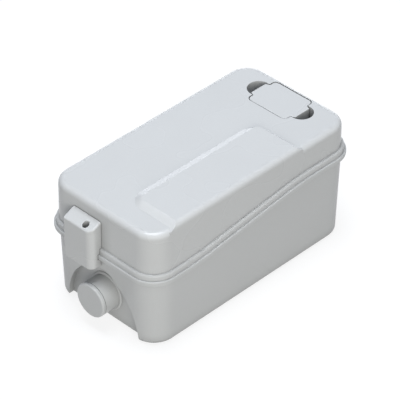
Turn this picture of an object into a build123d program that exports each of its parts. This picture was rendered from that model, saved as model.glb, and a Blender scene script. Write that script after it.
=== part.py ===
from build123d import *
from math import cos, sin, tan, radians, pi
import os

# Compact lifting unit for the waste water of a shower and basin.
# X runs along the unit, the front end with its inlet is at -X, Z is up.
# The origin is the centre of the base, on the floor. All sizes are in millimetres.
# It is sized from the inside out: pump, deck, motor and valve, then the tank and the lid round them.

# Wall of the tank and of the lid
WALL = 3.0

# Screws, hinge pins and their clearances
SCREW_RADIUS = 2.0
SCREW_CLEARANCE = 0.15
SCREW_HEAD_RADIUS = 3.6
SCREW_HEAD = 2.4
SCREW_GRIP = 12.0
SCREW_TIP_GAP = 1.0
PIN_RADIUS = 1.5
PIN_CLEARANCE = 0.06
HOLE_CLEARANCE = 0.15

# Strainer under the pump
STRAINER_FLOOR_GAP = 2.0
STRAINER_RADIUS = 24.0
STRAINER_WALL = 2.0
STRAINER_HEIGHT = 6.0
STRAINER_SLOTS = 12
STRAINER_SLOT_WIDTH = 4.0

# Pump casing, its outlet towards +X
PUMP_X = -20.0
VOLUTE_BOTTOM = WALL + STRAINER_FLOOR_GAP + STRAINER_HEIGHT
VOLUTE_HEIGHT = 23.0
VOLUTE_TOP = VOLUTE_BOTTOM + VOLUTE_HEIGHT
VOLUTE_RADIUS = 35.0
VOLUTE_GROWTH = 9.6
VOLUTE_WALL = 2.6
SUCTION_EYE = 13.0
OUTLET_RADIUS = 9.0
OUTLET_REACH = 44.0
OUTLET_INSET = 0.6
OUTLET_OFFSET = VOLUTE_RADIUS + VOLUTE_GROWTH - OUTLET_RADIUS - OUTLET_INSET
OUTLET_LEVEL = VOLUTE_BOTTOM + VOLUTE_WALL + OUTLET_RADIUS + OUTLET_INSET
PUMP_LUG_RADIUS = 5.0
PUMP_LUG_ANGLES = (135.0, 225.0, 315.0)
PUMP_SCREW_STANDOFF = 14.0
PUMP_SCREW_CIRCLE = VOLUTE_RADIUS + PUMP_SCREW_STANDOFF

# Impeller and the nut that holds it
IMPELLER_RADIUS = 30.0
IMPELLER_FLOOR_GAP = 3.4
IMPELLER_BOTTOM = VOLUTE_BOTTOM + VOLUTE_WALL + IMPELLER_FLOOR_GAP
IMPELLER_HEIGHT = 12.0
IMPELLER_DISC = 2.6
IMPELLER_HUB = 8.0
IMPELLER_GAP = 1.0
BLADE_COUNT = 6
BLADE_THICKNESS = 2.0
BLADE_ARC_RADIUS = 19.0
BLADE_ARC_OFFSET = 20.0
NUT_HEIGHT = 4.0
NUT_RADIUS = 5.6
NUT_CROWN = 1.0

# Column that hangs the pump from the deck, with the shaft seal in it
COLUMN_HEIGHT = 18.0
COLUMN_DISC = 4.0
COLUMN_RADIUS = 24.0
COLUMN_WALL = 3.0
COLUMN_FLANGE = 4.0
SEAL_RADIUS = 11.0
SEAL_HEIGHT = 9.0
SEAL_LIP = 2.0
SEAL_RECESS = 2.5

# Deck that carries the motor and closes off the wet half of the tank
DECK_LEVEL = VOLUTE_TOP + COLUMN_HEIGHT
DECK_THICKNESS = 3.5
DECK_TOP = DECK_LEVEL + DECK_THICKNESS
DECK_CORNER = 16.0
DECK_LIP_WIDTH = 2.0
DECK_LIP = 6.0
DECK_CLEARANCE = 0.5
POST_RADIUS = 5.0
POST_END_INSET = 14.0
POST_SIDE_INSET = 9.0

# Motor: rotor, stator and the can that holds them
ROTOR_RADIUS = 20.0
ROTOR_HEIGHT = 32.0
ROTOR_ROOM_BELOW = 18.5
ROTOR_ROOM_ABOVE = 13.0
ROTOR_BOTTOM = DECK_TOP + ROTOR_ROOM_BELOW
ROTOR_RING = 3.0
ROTOR_RING_INSET = 1.0
ROTOR_RING_WIDTH = 6.0
AIR_GAP = 0.5
STATOR_RADIUS = 33.0
STATOR_SLOTS = 12
STATOR_SLOT_WIDTH = 5.0
STATOR_SLOT_DEPTH = 7.0
STATOR_TOOTH = 1.6
WINDING_OVERHANG = 8.0
WINDING_GAP = 0.3
WINDING_ROUND = 2.5
CAN_WALL = 3.0
CAN_FLOOR = 4.0
CAN_TOP = ROTOR_BOTTOM + ROTOR_HEIGHT + ROTOR_ROOM_ABOVE
CAN_RIBS = 12
CAN_RIB = 1.6
END_CAP_THICKNESS = 4.0
END_CAP_ROUND = 3.0
END_CAP_SPIGOT = 3.0
MOTOR_SCREWS = 4
MOTOR_SCREW_GAP = 0.4
MOTOR_SCREW_EDGE = 4.0
MOTOR_SCREW_CIRCLE = STATOR_RADIUS + CAN_WALL + SCREW_HEAD_RADIUS + MOTOR_SCREW_GAP
CAN_FLANGE_RADIUS = MOTOR_SCREW_CIRCLE + MOTOR_SCREW_EDGE

# Shaft from the impeller's nut up into the motor's end cap, and its bearings
SHAFT_RADIUS = 4.0
SHAFT_CLEARANCE = 0.05
SHAFT_CHAMFER = 0.6
SHAFT_RELIEF = 1.0
SHAFT_HEADROOM = 7.0
SHAFT_BOTTOM = IMPELLER_BOTTOM - NUT_HEIGHT + NUT_CROWN
SHAFT_TOP = CAN_TOP + SHAFT_HEADROOM
BEARING_RADIUS = 11.0
BEARING_HEIGHT = 7.0
BEARING_STEP = 1.2
BEARING_RACE = 2.2

# Control box on the deck, beyond the motor, which sets how far the deck reaches
EQUIPMENT_GAP = 3.0
BOX_LENGTH = 42.0
BOX_WIDTH = 50.0
BOX_HEIGHT = 26.0
BOX_WALL = 2.0
BOX_CORNER = 4.0
BOX_COVER = 2.5
BOX_COVER_LIP = 2.0
BOX_SCREW_GAP = 0.9
WIRE_NOTCH_WIDTH = 12.0
WIRE_NOTCH_DEPTH = 8.0
BOX_X = PUMP_X - CAN_FLANGE_RADIUS - EQUIPMENT_GAP - BOX_LENGTH / 2
DISCHARGE_SIDE_ROOM = 32.0
DECK_LENGTH = 2 * (BOX_LENGTH / 2 + EQUIPMENT_GAP - BOX_X)
DECK_WIDTH = 2 * (OUTLET_OFFSET + DISCHARGE_SIDE_ROOM)
POST_SPACING_X = DECK_LENGTH / 2 - POST_END_INSET
POST_SPACING_Y = DECK_WIDTH / 2 - POST_SIDE_INSET
BOX_Y = POST_SPACING_Y - SCREW_HEAD_RADIUS - BOX_SCREW_GAP - BOX_WIDTH / 2

# Circuit board in the box, and what stands on it
BOARD_GAP = 0.6
BOARD_THICKNESS = 1.6
BOARD_LIFT = 5.0
BOARD_EDGE = 1.5
BOARD_FOOT_RADIUS = 2.5
BOARD_FOOT_INSET = 4.0
CHIP_SIZE = 8.0
CHIP_HEIGHT = 1.5
CHIP_INSET = 3.0
BOARD_CAN_RADIUS = 4.0
BOARD_CAN_HEIGHT = 9.0
BOARD_CAN_INSET = 8.0
TERMINAL_LENGTH = 30.0
TERMINAL_WIDTH = 9.0
TERMINAL_HEIGHT = 10.0
TERMINAL_WAYS = 5
TERMINAL_SCREW = 2.0
TERMINAL_RECESS = 3.0
TERMINAL_ENTRY = 4.0
RELAY_SIZE = 15.0
RELAY_HEIGHT = 12.0
RELAY_ROUND = 0.6

# Run capacitor, upright on the deck behind the motor
CAPACITOR_RADIUS = 15.0
CAPACITOR_HEIGHT = 52.0
CAPACITOR_ROUND = 1.2
CAPACITOR_GAP = 11.0
CAPACITOR_SCREW_GAP = 1.0
CAPACITOR_X = PUMP_X + CAN_FLANGE_RADIUS + CAPACITOR_GAP + CAPACITOR_RADIUS
CAPACITOR_Y = CAPACITOR_RADIUS + CAPACITOR_SCREW_GAP - POST_SPACING_Y
TAB_WIDTH = 6.3
TAB_THICKNESS = 0.8
TAB_HEIGHT = 8.0

# Level sensing: an air bell dips in the water, a diaphragm switch sits on top
BELL_RADIUS = 12.0
BELL_WALL = 2.0
BELL_MOUTH = 10.0
BELL_FLANGE_RADIUS = 17.0
BELL_FLANGE = 3.0
SWITCH_RADIUS = 20.0
SWITCH_WALL = 3.0
SWITCH_BASE = 7.0
SWITCH_COVER = 12.0
SWITCH_FLOOR = 3.0
SWITCH_END_GAP = 6.0
SWITCH_SCREW_GAP = 2.0
BELL_X = SWITCH_RADIUS + SWITCH_END_GAP - DECK_LENGTH / 2
BELL_Y = SWITCH_RADIUS + SWITCH_SCREW_GAP - POST_SPACING_Y
AIR_HOLE = 2.0
DIAPHRAGM_THICKNESS = 0.8
DIAPHRAGM_ROLL = 1.5
PLUNGER_RADIUS = 3.0
PLUNGER_PLATE = 1.6
PLUNGER_GAP = 0.3
PLUNGER_TRAVEL = 1.5
MICROSWITCH_LENGTH = 20.0
MICROSWITCH_WIDTH = 8.0
MICROSWITCH_HEIGHT = 12.0
MICROSWITCH_TAB_INSET = 2.0

# Riser from the pump and the non-return valve behind it
RISER_RUN = 38.0
RISER_X = PUMP_X + OUTLET_REACH + RISER_RUN
RISER_WALL = 2.2
RISER_BEND = 19.0
SOCKET_DEPTH = 4.0
VALVE_RUN = 22.0
VALVE_START = RISER_X + VALVE_RUN
VALVE_LENGTH = 44.0
VALVE_BORE = 13.0
VALVE_WALL = 3.0
VALVE_END_WALL = 7.4
VALVE_HEADROOM = 17.0
VALVE_COVER = 3.0
VALVE_SCREW_SPACING = 20.0
VALVE_FLAP_RADIUS = 11.5
VALVE_FLAP_PIVOT = 14.0
VALVE_ARM = 8.0
VALVE_DECK_GAP = 6.5
DISCHARGE_LEVEL = DECK_TOP + DECK_LIP + VALVE_DECK_GAP + VALVE_BORE + VALVE_WALL

# Discharge spigot through the rear wall, held by a ring nut on its threaded root
SPIGOT_RADIUS = 14.0
SPIGOT_THREAD = 0.6
SPIGOT_THREAD_RADIUS = SPIGOT_RADIUS + SPIGOT_THREAD
SPIGOT_STEP_RADIUS = 12.5
SPIGOT_STEP_LENGTH = 12.0
SPIGOT_LENGTH = 32.0
SPIGOT_FLANGE = 3.0
SPIGOT_FLANGE_RADIUS = 19.0
SPIGOT_NUT = 6.0
SPIGOT_NUT_RADIUS = 18.2
SPIGOT_NOTCHES = 8
SPIGOT_NOTCH_WIDTH = 5.0
SPIGOT_NOTCH_DEPTH = 1.5
SEAL_THICKNESS = 1.5
BOSS_STANDOFF = 1.5
BOSS_MARGIN = 1.0

# Cable gland through the far wall, beside the control box
GLAND_X = BOX_X
GLAND_ABOVE_DECK = 16.5
GLAND_LEVEL = DECK_TOP + GLAND_ABOVE_DECK
GLAND_THREAD = 8.0
GLAND_BORE = 3.6
GLAND_RELIEF = 0.8
GLAND_INSERT = 6.0
GLAND_HEX = 11.0
GLAND_HEX_HEIGHT = 5.0
GLAND_REACH = 14.0
GLAND_NUT_GAP = 1.0
GLAND_NUT_HEIGHT = 11.0
GLAND_DOME_INSET = 1.6
GLAND_DOME_ROUND = 3.5
LOCKNUT_HEIGHT = 4.0

# Parting line: level at both ends, climbing towards the rear in between
SEAM_ABOVE_DISCHARGE = 25.0
SEAM_RISE = 18.5
SEAM_REAR = DISCHARGE_LEVEL + SEAM_ABOVE_DISCHARGE
SEAM_FRONT = SEAM_REAR - SEAM_RISE
SEAM_BEND_FRONT = -88.0
SEAM_BEND_REAR = 64.0
SEAM_BEND_RADIUS = 300.0
RIM_PROUD = 5.3
RIM_HEIGHT = 5.8
RIM_ROUND = 1.4
BAND_PROUD = 3.0
BAND_HEIGHT = 6.8
BAND_ROUND = 2.6
GASKET_WIDTH = 3.0
GASKET_DEPTH = 2.4

# Tank, the lower half, with an arched pocket in both ends, where the inlet pipes come up to it
DECK_END_ROOM = 27.5
DECK_SIDE_ROOM = 8.25
POCKET_BACK = DECK_LENGTH / 2 + DECK_END_ROOM
POCKET_DEPTH = 6.5
POCKET_HEADROOM = 20.0
POCKET_HEIGHT = SEAM_FRONT - POCKET_HEADROOM
POCKET_POWER = 1.85
BASE_LENGTH = 2 * (POCKET_BACK + POCKET_DEPTH)
BASE_WIDTH = DECK_WIDTH + 2 * DECK_SIDE_ROOM
TANK_CORNER = 27.0
POCKET_INTO_CORNER = 4.25
POCKET_HALF_WIDTH = BASE_WIDTH / 2 - TANK_CORNER + POCKET_INTO_CORNER
TANK_DRAFT = 1.87
TANK_FOOT_ROUND = 6.0

# Lid, the upper half
LID_END_STEP = 1.5
LID_SIDE_STEP = 2.25
LID_LENGTH = BASE_LENGTH + 2 * LID_END_STEP
LID_WIDTH = BASE_WIDTH + 2 * LID_SIDE_STEP
LID_CORNER = 25.0
LID_DRAFT = 0.8
MOTOR_HEADROOM = 13.0
LID_TOP = SHAFT_TOP + END_CAP_THICKNESS + MOTOR_HEADROOM + WALL
LID_ROUND = 6.5

# Inlet stubs, the caps that blank them and the flaps behind them
INLET_HEIGHT = 35.2
INLET_RADIUS = 19.8
INLET_WALL = 2.6
INLET_BORE = INLET_RADIUS - INLET_WALL
INLET_LENGTH = 20.0
INLET_COLLAR_PROUD = 2.7
INLET_COLLAR_RADIUS = INLET_RADIUS + INLET_COLLAR_PROUD
INLET_COLLAR = 2.0
CAP_FLANGE = 4.2
CAP_FACE_GAP = 0.6
CAP_FACE_WALL = 3.0
CAP_SPIGOT_LENGTH = 10.0
CAP_SPIGOT_GAP = 0.35
CAP_EDGE_ROUND = 1.6
RING_CORD = 1.8
RING_GAP = 0.06
FLAP_SEAT_WIDTH = 2.2
FLAP_SEAT_HEIGHT = 2.0
FLAP_OVERLAP = 2.4
FLAP_THICKNESS = 2.2
FLAP_GAP = 0.3
FLAP_ARM = 10.0
FLAP_EYE = 1.2
FLAP_LUG = 3.0
FLAP_LUG_EYE = 1.8

# Lid clamps at both ends, each pulled down by a screw in a lug under the tank's rim
CLAMP_WIDTH = 41.0
CLAMP_OFFSET = 18.5
CLAMP_DEPTH = 15.2
CLAMP_ABOVE_FRONT = 41.0
CLAMP_ABOVE_REAR = 23.0
CLAMP_FALL = 25.0
CLAMP_WALL = 2.2
CLAMP_CORNER = 8.0
CLAMP_SIDE_ROUND = 2.4
CLAMP_EDGE_ROUND = 2.0
CLAMP_WEB = 3.6
CLAMP_GAP = 0.6
CLAMP_SCREW_OFFSET = 8.0
CLAMP_SCREW_STANDOFF = 9.3
CLAMP_SCREW_X = -(LID_LENGTH / 2 + CLAMP_SCREW_STANDOFF)
CLAMP_SCREW_Y = CLAMP_OFFSET - CLAMP_SCREW_OFFSET
DRIVER_HOLE_RADIUS = 3.9
LUG_HEIGHT = 7.5
LUG_WIDTH = 13.0
LUG_NOSE = 3.0
LUG_CHAMFER = 1.5
LUG_GAP = 1.5
CLAMP_BELOW = RIM_HEIGHT + LUG_HEIGHT + LUG_GAP + CLAMP_WALL

# Filter well in the lid and its cap
CAP_LENGTH = 44.0
CAP_WIDTH = 56.0
CAP_CORNER = 5.5
CAP_NOTCH = 2.2
CAP_NOTCH_ROUND = 1.6
CAP_TAB_LENGTH = 22.0
CAP_TAB_REACH = 4.2
CAP_TAB_ROUND = 1.0
CAP_GAP = 1.0
CAP_SINK = 0.3
CAP_PLATE = 2.6
CAP_DEPTH = 12.0
CAP_WALL = 2.2
WELL_END_ROOM = 7.0
WELL_X = LID_LENGTH / 2 - WELL_END_ROOM - CAP_LENGTH / 2
WELL_DEPTH = 15.0
SCOOP_RADIUS = 13.4
SCOOP_REACH = 12.2
DUCT_LENGTH = 33.0
DUCT_WIDTH = 45.0
DUCT_CORNER = 3.0
FILTER_GAP = 0.6
FILTER_HEIGHT = 30.0
FILTER_WALL = 1.6
FILTER_SLOTS = 6
FILTER_SLOT_WIDTH = 2.4
FILTER_END_MARGIN = 6.0
CARBON_GAP = 1.0
CAP_SEAL_WIDTH = 2.2
CAP_SEAL_HEIGHT = 3.0
CAP_SEAL_GAP = 0.4

# Raised panel on the near side of the lid, with a ramp on each of its three free edges
PANEL_RISE = 4.0
PANEL_END_ROOM = 38.5
PANEL_WELL_ROOM = 31.5
PANEL_FRONT = PANEL_END_ROOM - LID_LENGTH / 2
PANEL_REAR = WELL_X - CAP_LENGTH / 2 - PANEL_WELL_ROOM
PANEL_INNER = -18.0
PANEL_RAMP_FRONT = 9.0
PANEL_RAMP_REAR = 5.0
PANEL_RAMP_INNER = 9.5
PANEL_RAMP_DEPTH = 1.8
PANEL_CORNER = 6.0
PANEL_FOOT_CORNER = 22.0

# Longer than any part of the unit, for profiles and cuts that run right through it
REACH = 400.0


def rod(radius, low, high):
    """Upright cylinder between two heights"""
    return Pos(0, 0, (low + high) / 2) * Cylinder(radius, high - low)


def tube(outer, inner, low, high):
    """Upright tube between two heights"""
    return rod(outer, low, high) - rod(inner, low, high)


def block(x, y, z):
    """Box between two x, two y and two z values"""
    size = (x[1] - x[0], y[1] - y[0], z[1] - z[0])
    return Pos((x[0] + x[1]) / 2, (y[0] + y[1]) / 2, (z[0] + z[1]) / 2) * Box(*size)


def raised(plan, low, high):
    """A plan shape raised from one height to another"""
    return extrude(Plane.XY.offset(low) * plan, amount=high - low)


def slab(length, width, corner, low, high, draft=0.0):
    """Rounded rectangle between two heights, widening upwards where the draft is positive"""
    plan = Plane.XY.offset(low) * RectangleRounded(length, width, corner)
    return extrude(plan, amount=high - low, taper=-draft)


def along_x(solid, x, y, z):
    """An upright solid laid down: what pointed up points to -X"""
    return Pos(x, y, z) * Rot(0, -90, 0) * solid


def along_y(solid, x, y, z):
    """An upright solid laid down: what pointed up points to +Y"""
    return Pos(x, y, z) * Rot(-90, 0, 0) * solid


def turned(solid):
    """A front piece turned half round the unit's middle, for the rear end"""
    return Rot(0, 0, 180) * solid


def around(count, piece):
    """Copies of a piece spread evenly about the Z axis"""
    return [Rot(0, 0, step * 360 / count) * piece for step in range(count)]


def screw(x, y, seat, grip):
    """Pan-head screw whose head rests on a seat"""
    head = rod(SCREW_HEAD_RADIUS, seat, seat + SCREW_HEAD)
    head = fillet(head.edges().group_by(Axis.Z)[-1], SCREW_HEAD / 2)
    slot = Box(SCREW_HEAD_RADIUS, SCREW_HEAD / 3, SCREW_HEAD)
    for turn in (45, 135):
        head = head - Pos(0, 0, seat + SCREW_HEAD) * Rot(0, 0, turn) * slot
    return Pos(x, y, 0) * (head + rod(SCREW_RADIUS, seat - grip, seat))


def seam_line(lift):
    points = (
        (-REACH, SEAM_FRONT + lift),
        (SEAM_BEND_FRONT, SEAM_FRONT + lift),
        (SEAM_BEND_REAR, SEAM_REAR + lift),
        (REACH, SEAM_REAR + lift),
    )
    return FilletPolyline(*points, radius=SEAM_BEND_RADIUS)


def seam_layer(low, high):
    """Everything between two curves that follow the parting line"""
    lower = seam_line(low)
    upper = seam_line(high)
    ends = [Line(lower @ 0, upper @ 0), Line(lower @ 1, upper @ 1)]
    profile = make_face(lower.edges() + upper.edges() + ends)
    return extrude(Plane.XZ * profile, amount=REACH, both=True)


def outline_edges(solid, length, width):
    """Edges that run round the outside of a layer, without the upright ones"""
    picked = ShapeList()
    for edge in solid.edges().filter_by(Axis.Z, reverse=True):
        spot = edge.center()
        if abs(spot.X) > length / 2 - LID_CORNER or abs(spot.Y) > width / 2 - 1:
            picked.append(edge)
    return picked


def wall_half_width(z):
    """Half the tank's outer width at height z"""
    return BASE_WIDTH / 2 + z * tan(radians(TANK_DRAFT))


def wall_half_length(z):
    """Half the tank's outer length at height z"""
    return BASE_LENGTH / 2 + z * tan(radians(TANK_DRAFT))


def pocket(grow):
    """Arch in both ends of the tank, grown by a wall where its inside is asked for"""
    half = POCKET_HALF_WIDTH + grow
    top = POCKET_HEIGHT + grow
    turns = [radians(step * 22.5) for step in range(4)]
    power = 2 / POCKET_POWER
    points = [(half * cos(t) ** power, top * sin(t) ** power) for t in turns] + [(0, top)]
    right = Spline(*points, tangents=((0, 1), (-1, 0)))
    left = mirror(right, about=Plane.YZ)
    foot = Polyline((half, 0), (half, -REACH), (-half, -REACH), (-half, 0))
    arch = Plane.YZ * make_face(right.edges() + left.edges() + foot.edges())
    rear = Pos(POCKET_BACK - grow, 0, 0) * extrude(arch, amount=REACH)
    front = Pos(grow - POCKET_BACK, 0, 0) * extrude(arch, amount=-REACH)
    return front + rear


def post_places():
    return [(x, y) for x in (-POST_SPACING_X, 0, POST_SPACING_X)
            for y in (-POST_SPACING_Y, POST_SPACING_Y)]


def lid_gasket():
    """Cord in a groove of the tank's edge, all along the parting line"""
    outside = slab(LID_LENGTH, LID_WIDTH, LID_CORNER, 0, LID_TOP)
    inside = slab(LID_LENGTH - 2 * GASKET_WIDTH, LID_WIDTH - 2 * GASKET_WIDTH,
                  LID_CORNER - GASKET_WIDTH, 0, LID_TOP)
    return (outside - inside) & seam_layer(-GASKET_DEPTH, 0)


def tank_cavity():
    room = slab(BASE_LENGTH - 2 * WALL, BASE_WIDTH - 2 * WALL, TANK_CORNER - WALL, WALL, LID_TOP,
                TANK_DRAFT)
    room = fillet(room.edges().group_by(Axis.Z)[0], TANK_FOOT_ROUND - WALL)
    return room - pocket(WALL)


def tank_rim():
    """Flange that stands out round the tank's open edge"""
    length = LID_LENGTH + 2 * RIM_PROUD
    width = LID_WIDTH + 2 * RIM_PROUD
    rim = slab(length, width, LID_CORNER + RIM_PROUD, 0, LID_TOP) & seam_layer(-RIM_HEIGHT, 0)
    return fillet(outline_edges(rim, length, width), RIM_ROUND)


def clamp_lug(seam):
    """Ear under the front rim, tapped for the clamp's screw"""
    top = seam - RIM_HEIGHT
    ear = block((CLAMP_SCREW_X - LUG_NOSE, 1 - wall_half_length(top)),
                (CLAMP_SCREW_Y - LUG_WIDTH / 2, CLAMP_SCREW_Y + LUG_WIDTH / 2),
                (top - LUG_HEIGHT, top + 1))
    return chamfer(ear.edges().filter_by(Axis.Z).group_by(Axis.X)[0], LUG_CHAMFER)


def wall_bosses():
    """Flat pads inside and outside the wall, where the spigot and the gland pass through it"""
    at = wall_half_length(DISCHARGE_LEVEL)
    rear = along_x(rod(SPIGOT_FLANGE_RADIUS + BOSS_MARGIN, 0, WALL + 2 * BOSS_STANDOFF),
                   at + BOSS_STANDOFF, OUTLET_OFFSET, DISCHARGE_LEVEL)
    at = wall_half_width(GLAND_LEVEL)
    side = along_y(rod(GLAND_HEX + 2 * BOSS_MARGIN, 0, WALL + 2 * BOSS_STANDOFF),
                   GLAND_X, at - WALL - BOSS_STANDOFF, GLAND_LEVEL)
    return rear + side


def wall_holes():
    at = wall_half_length(DISCHARGE_LEVEL) + 2 * WALL
    rear = along_x(rod(SPIGOT_THREAD_RADIUS + HOLE_CLEARANCE, 0, 5 * WALL),
                   at, OUTLET_OFFSET, DISCHARGE_LEVEL)
    at = wall_half_width(GLAND_LEVEL) - 3 * WALL
    side = along_y(rod(GLAND_THREAD + HOLE_CLEARANCE, 0, 5 * WALL), GLAND_X, at, GLAND_LEVEL)
    return rear + side


def inlet_stub():
    """Front stub with its collar outside and the flap's seat and hinge lugs inside"""
    inner = POCKET_BACK - WALL
    place = (-POCKET_BACK, 0, INLET_HEIGHT)
    pipe = along_x(rod(INLET_RADIUS, -WALL / 2, INLET_LENGTH), *place)
    collar = along_x(rod(INLET_COLLAR_RADIUS, -WALL / 2, INLET_COLLAR), *place)
    collar = chamfer(collar.edges().group_by(Axis.X)[0], INLET_COLLAR / 2)
    seat = along_x(rod(INLET_BORE + FLAP_SEAT_WIDTH, 0, WALL / 2 + FLAP_SEAT_HEIGHT),
                   FLAP_SEAT_HEIGHT - inner, 0, INLET_HEIGHT)
    lugs = flap_lugs()
    return pipe + collar + seat + lugs


def flap_axis():
    """Where the front flap's pin runs: its x and z"""
    x = FLAP_SEAT_HEIGHT + FLAP_GAP + FLAP_THICKNESS + PIN_RADIUS - (POCKET_BACK - WALL)
    return x, INLET_HEIGHT + INLET_BORE + FLAP_OVERLAP + 2 * PIN_RADIUS


def flap_lugs():
    x, z = flap_axis()
    eye = PIN_RADIUS + FLAP_LUG_EYE
    back = -(POCKET_BACK - WALL / 2)
    lugs = []
    for side in (-1, 1):
        y = side * (FLAP_ARM / 2 + DECK_CLEARANCE + FLAP_LUG / 2)
        ear = Pos(x, y, z) * Rot(90, 0, 0) * Cylinder(eye, FLAP_LUG)
        ear = ear + block((back, x), (y - FLAP_LUG / 2, y + FLAP_LUG / 2), (z - eye, z + eye))
        hole = Cylinder(PIN_RADIUS + PIN_CLEARANCE, 2 * FLAP_LUG)
        lugs.append(ear - Pos(x, y, z) * Rot(90, 0, 0) * hole)
    return Part() + lugs


def inlet_bore():
    return along_x(rod(INLET_BORE, 0, REACH), -(POCKET_BACK - 3 * WALL), 0, INLET_HEIGHT)


def tank():
    outer = slab(BASE_LENGTH, BASE_WIDTH, TANK_CORNER, 0, LID_TOP, TANK_DRAFT) - pocket(0)
    outer = fillet(outer.edges().group_by(Axis.Z)[0], TANK_FOOT_ROUND)
    shell = outer & seam_layer(-REACH, 0)
    shell = shell + tank_rim() + clamp_lug(SEAM_FRONT) + turned(clamp_lug(SEAM_REAR)) + wall_bosses()
    shell = shell - (tank_cavity() - wall_bosses())
    shell = shell + [Pos(x, y, 0) * rod(POST_RADIUS, WALL / 2, DECK_LEVEL) for x, y in post_places()]
    shell = shell + [inlet_stub(), turned(inlet_stub())]
    for x, y in post_places():
        shell = shell - Pos(x, y, 0) * rod(SCREW_RADIUS, DECK_LEVEL - SCREW_GRIP, DECK_LEVEL)
    pilot = Pos(CLAMP_SCREW_X, CLAMP_SCREW_Y, 0)
    front = pilot * rod(SCREW_RADIUS, SEAM_FRONT - RIM_HEIGHT - LUG_HEIGHT, SEAM_FRONT)
    rear = pilot * rod(SCREW_RADIUS, SEAM_REAR - RIM_HEIGHT - LUG_HEIGHT, SEAM_REAR)
    return shell - [inlet_bore(), turned(inlet_bore()), front, turned(rear), wall_holes(), lid_gasket()]


def lid_body(top, wall):
    """The lid's drafted form up to a top height, shrunk by a wall for its inside"""
    foot = SEAM_FRONT - RIM_HEIGHT
    body = slab(LID_LENGTH - 2 * wall, LID_WIDTH - 2 * wall, LID_CORNER - wall, foot, top - wall,
                -LID_DRAFT)
    return fillet(body.edges().group_by(Axis.Z)[-1], LID_ROUND - wall)


def panel_plan(front, rear, inner, corner, z):
    """Panel's outline at one height, running out past the lid's near side"""
    sketch = Rectangle(rear - front, inner + LID_WIDTH)
    sketch = Pos((front + rear) / 2, (inner - LID_WIDTH) / 2) * sketch
    sketch = fillet(sketch.vertices().group_by(Axis.Y)[-1], corner)
    return Plane.XY.offset(z) * sketch


def panel_prism():
    """Space over the lid where the panel stands, its ramps carried on into the rounded near edge"""
    run = 1 + PANEL_RAMP_DEPTH / PANEL_RISE
    corner = PANEL_CORNER + run * (PANEL_FOOT_CORNER - PANEL_CORNER)
    low = panel_plan(PANEL_FRONT - run * PANEL_RAMP_FRONT, PANEL_REAR + run * PANEL_RAMP_REAR,
                     PANEL_INNER + run * PANEL_RAMP_INNER, corner, LID_TOP - PANEL_RAMP_DEPTH)
    high = panel_plan(PANEL_FRONT, PANEL_REAR, PANEL_INNER, PANEL_CORNER, LID_TOP + PANEL_RISE)
    return loft([low, high], ruled=True) + extrude(low, amount=-2 * LID_ROUND)


def cap_plan(grow):
    """Outline of the filter cap: a rounded plate, a notch and a square tab at each end"""
    half, end, tab = CAP_LENGTH / 2, CAP_WIDTH / 2, CAP_TAB_LENGTH / 2
    quarter = [(half, end), (tab + CAP_NOTCH, end - CAP_NOTCH / 2), (tab, end + CAP_TAB_REACH)]
    rounds = [CAP_CORNER, CAP_NOTCH_ROUND, CAP_TAB_ROUND]
    top = quarter + [(-x, y) for x, y in reversed(quarter)]
    points = top + [(-x, -y) for x, y in top]
    line = FilletPolyline(*points, radius=(rounds + rounds[::-1]) * 2, close=True)
    plan = make_face(line.edges())
    return offset(plan, amount=grow) if grow else plan


def well_plan(grow):
    """Opening in the lid: the cap's outline with a round finger scoop at each end"""
    plan = cap_plan(CAP_GAP + grow)
    middle = CAP_WIDTH / 2 + CAP_TAB_REACH + SCOOP_REACH - SCOOP_RADIUS
    for side in (-1, 1):
        plan = plan + Pos(0, side * middle) * Circle(SCOOP_RADIUS + grow)
    return plan


def lid_band():
    """Step that stands out round the lid's lower edge, rounded off above"""
    length = LID_LENGTH + 2 * BAND_PROUD
    width = LID_WIDTH + 2 * BAND_PROUD
    band = slab(length, width, LID_CORNER + BAND_PROUD, 0, LID_TOP) & seam_layer(0, BAND_HEIGHT)
    lower = seam_layer(-1, BAND_HEIGHT / 2)
    upper = [e for e in outline_edges(band, length, width) if not lower.is_inside(e.center())]
    return fillet(upper, BAND_ROUND)


def lid():
    shape = lid_body(LID_TOP, 0) + (lid_body(LID_TOP + PANEL_RISE, 0) & panel_prism())
    shape = shape & seam_layer(0, REACH)
    room = block((PANEL_FRONT + WALL, PANEL_REAR - WALL),
                 (LID_ROUND - LID_WIDTH / 2, PANEL_INNER - WALL),
                 (LID_TOP - 2 * WALL, LID_TOP + PANEL_RISE - WALL))
    shape = shape + lid_band() - lid_body(LID_TOP, WALL) - room
    floor = LID_TOP - WELL_DEPTH
    place = Pos(WELL_X, 0, 0)
    walls = place * raised(well_plan(WALL), floor - WALL, LID_TOP)
    shape = shape + (walls & lid_body(LID_TOP, WALL / 2))
    shape = shape - place * raised(well_plan(0), floor, LID_TOP + 1)
    return shape - place * slab(DUCT_LENGTH, DUCT_WIDTH, DUCT_CORNER, floor - 2 * WALL, floor + 1)


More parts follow.
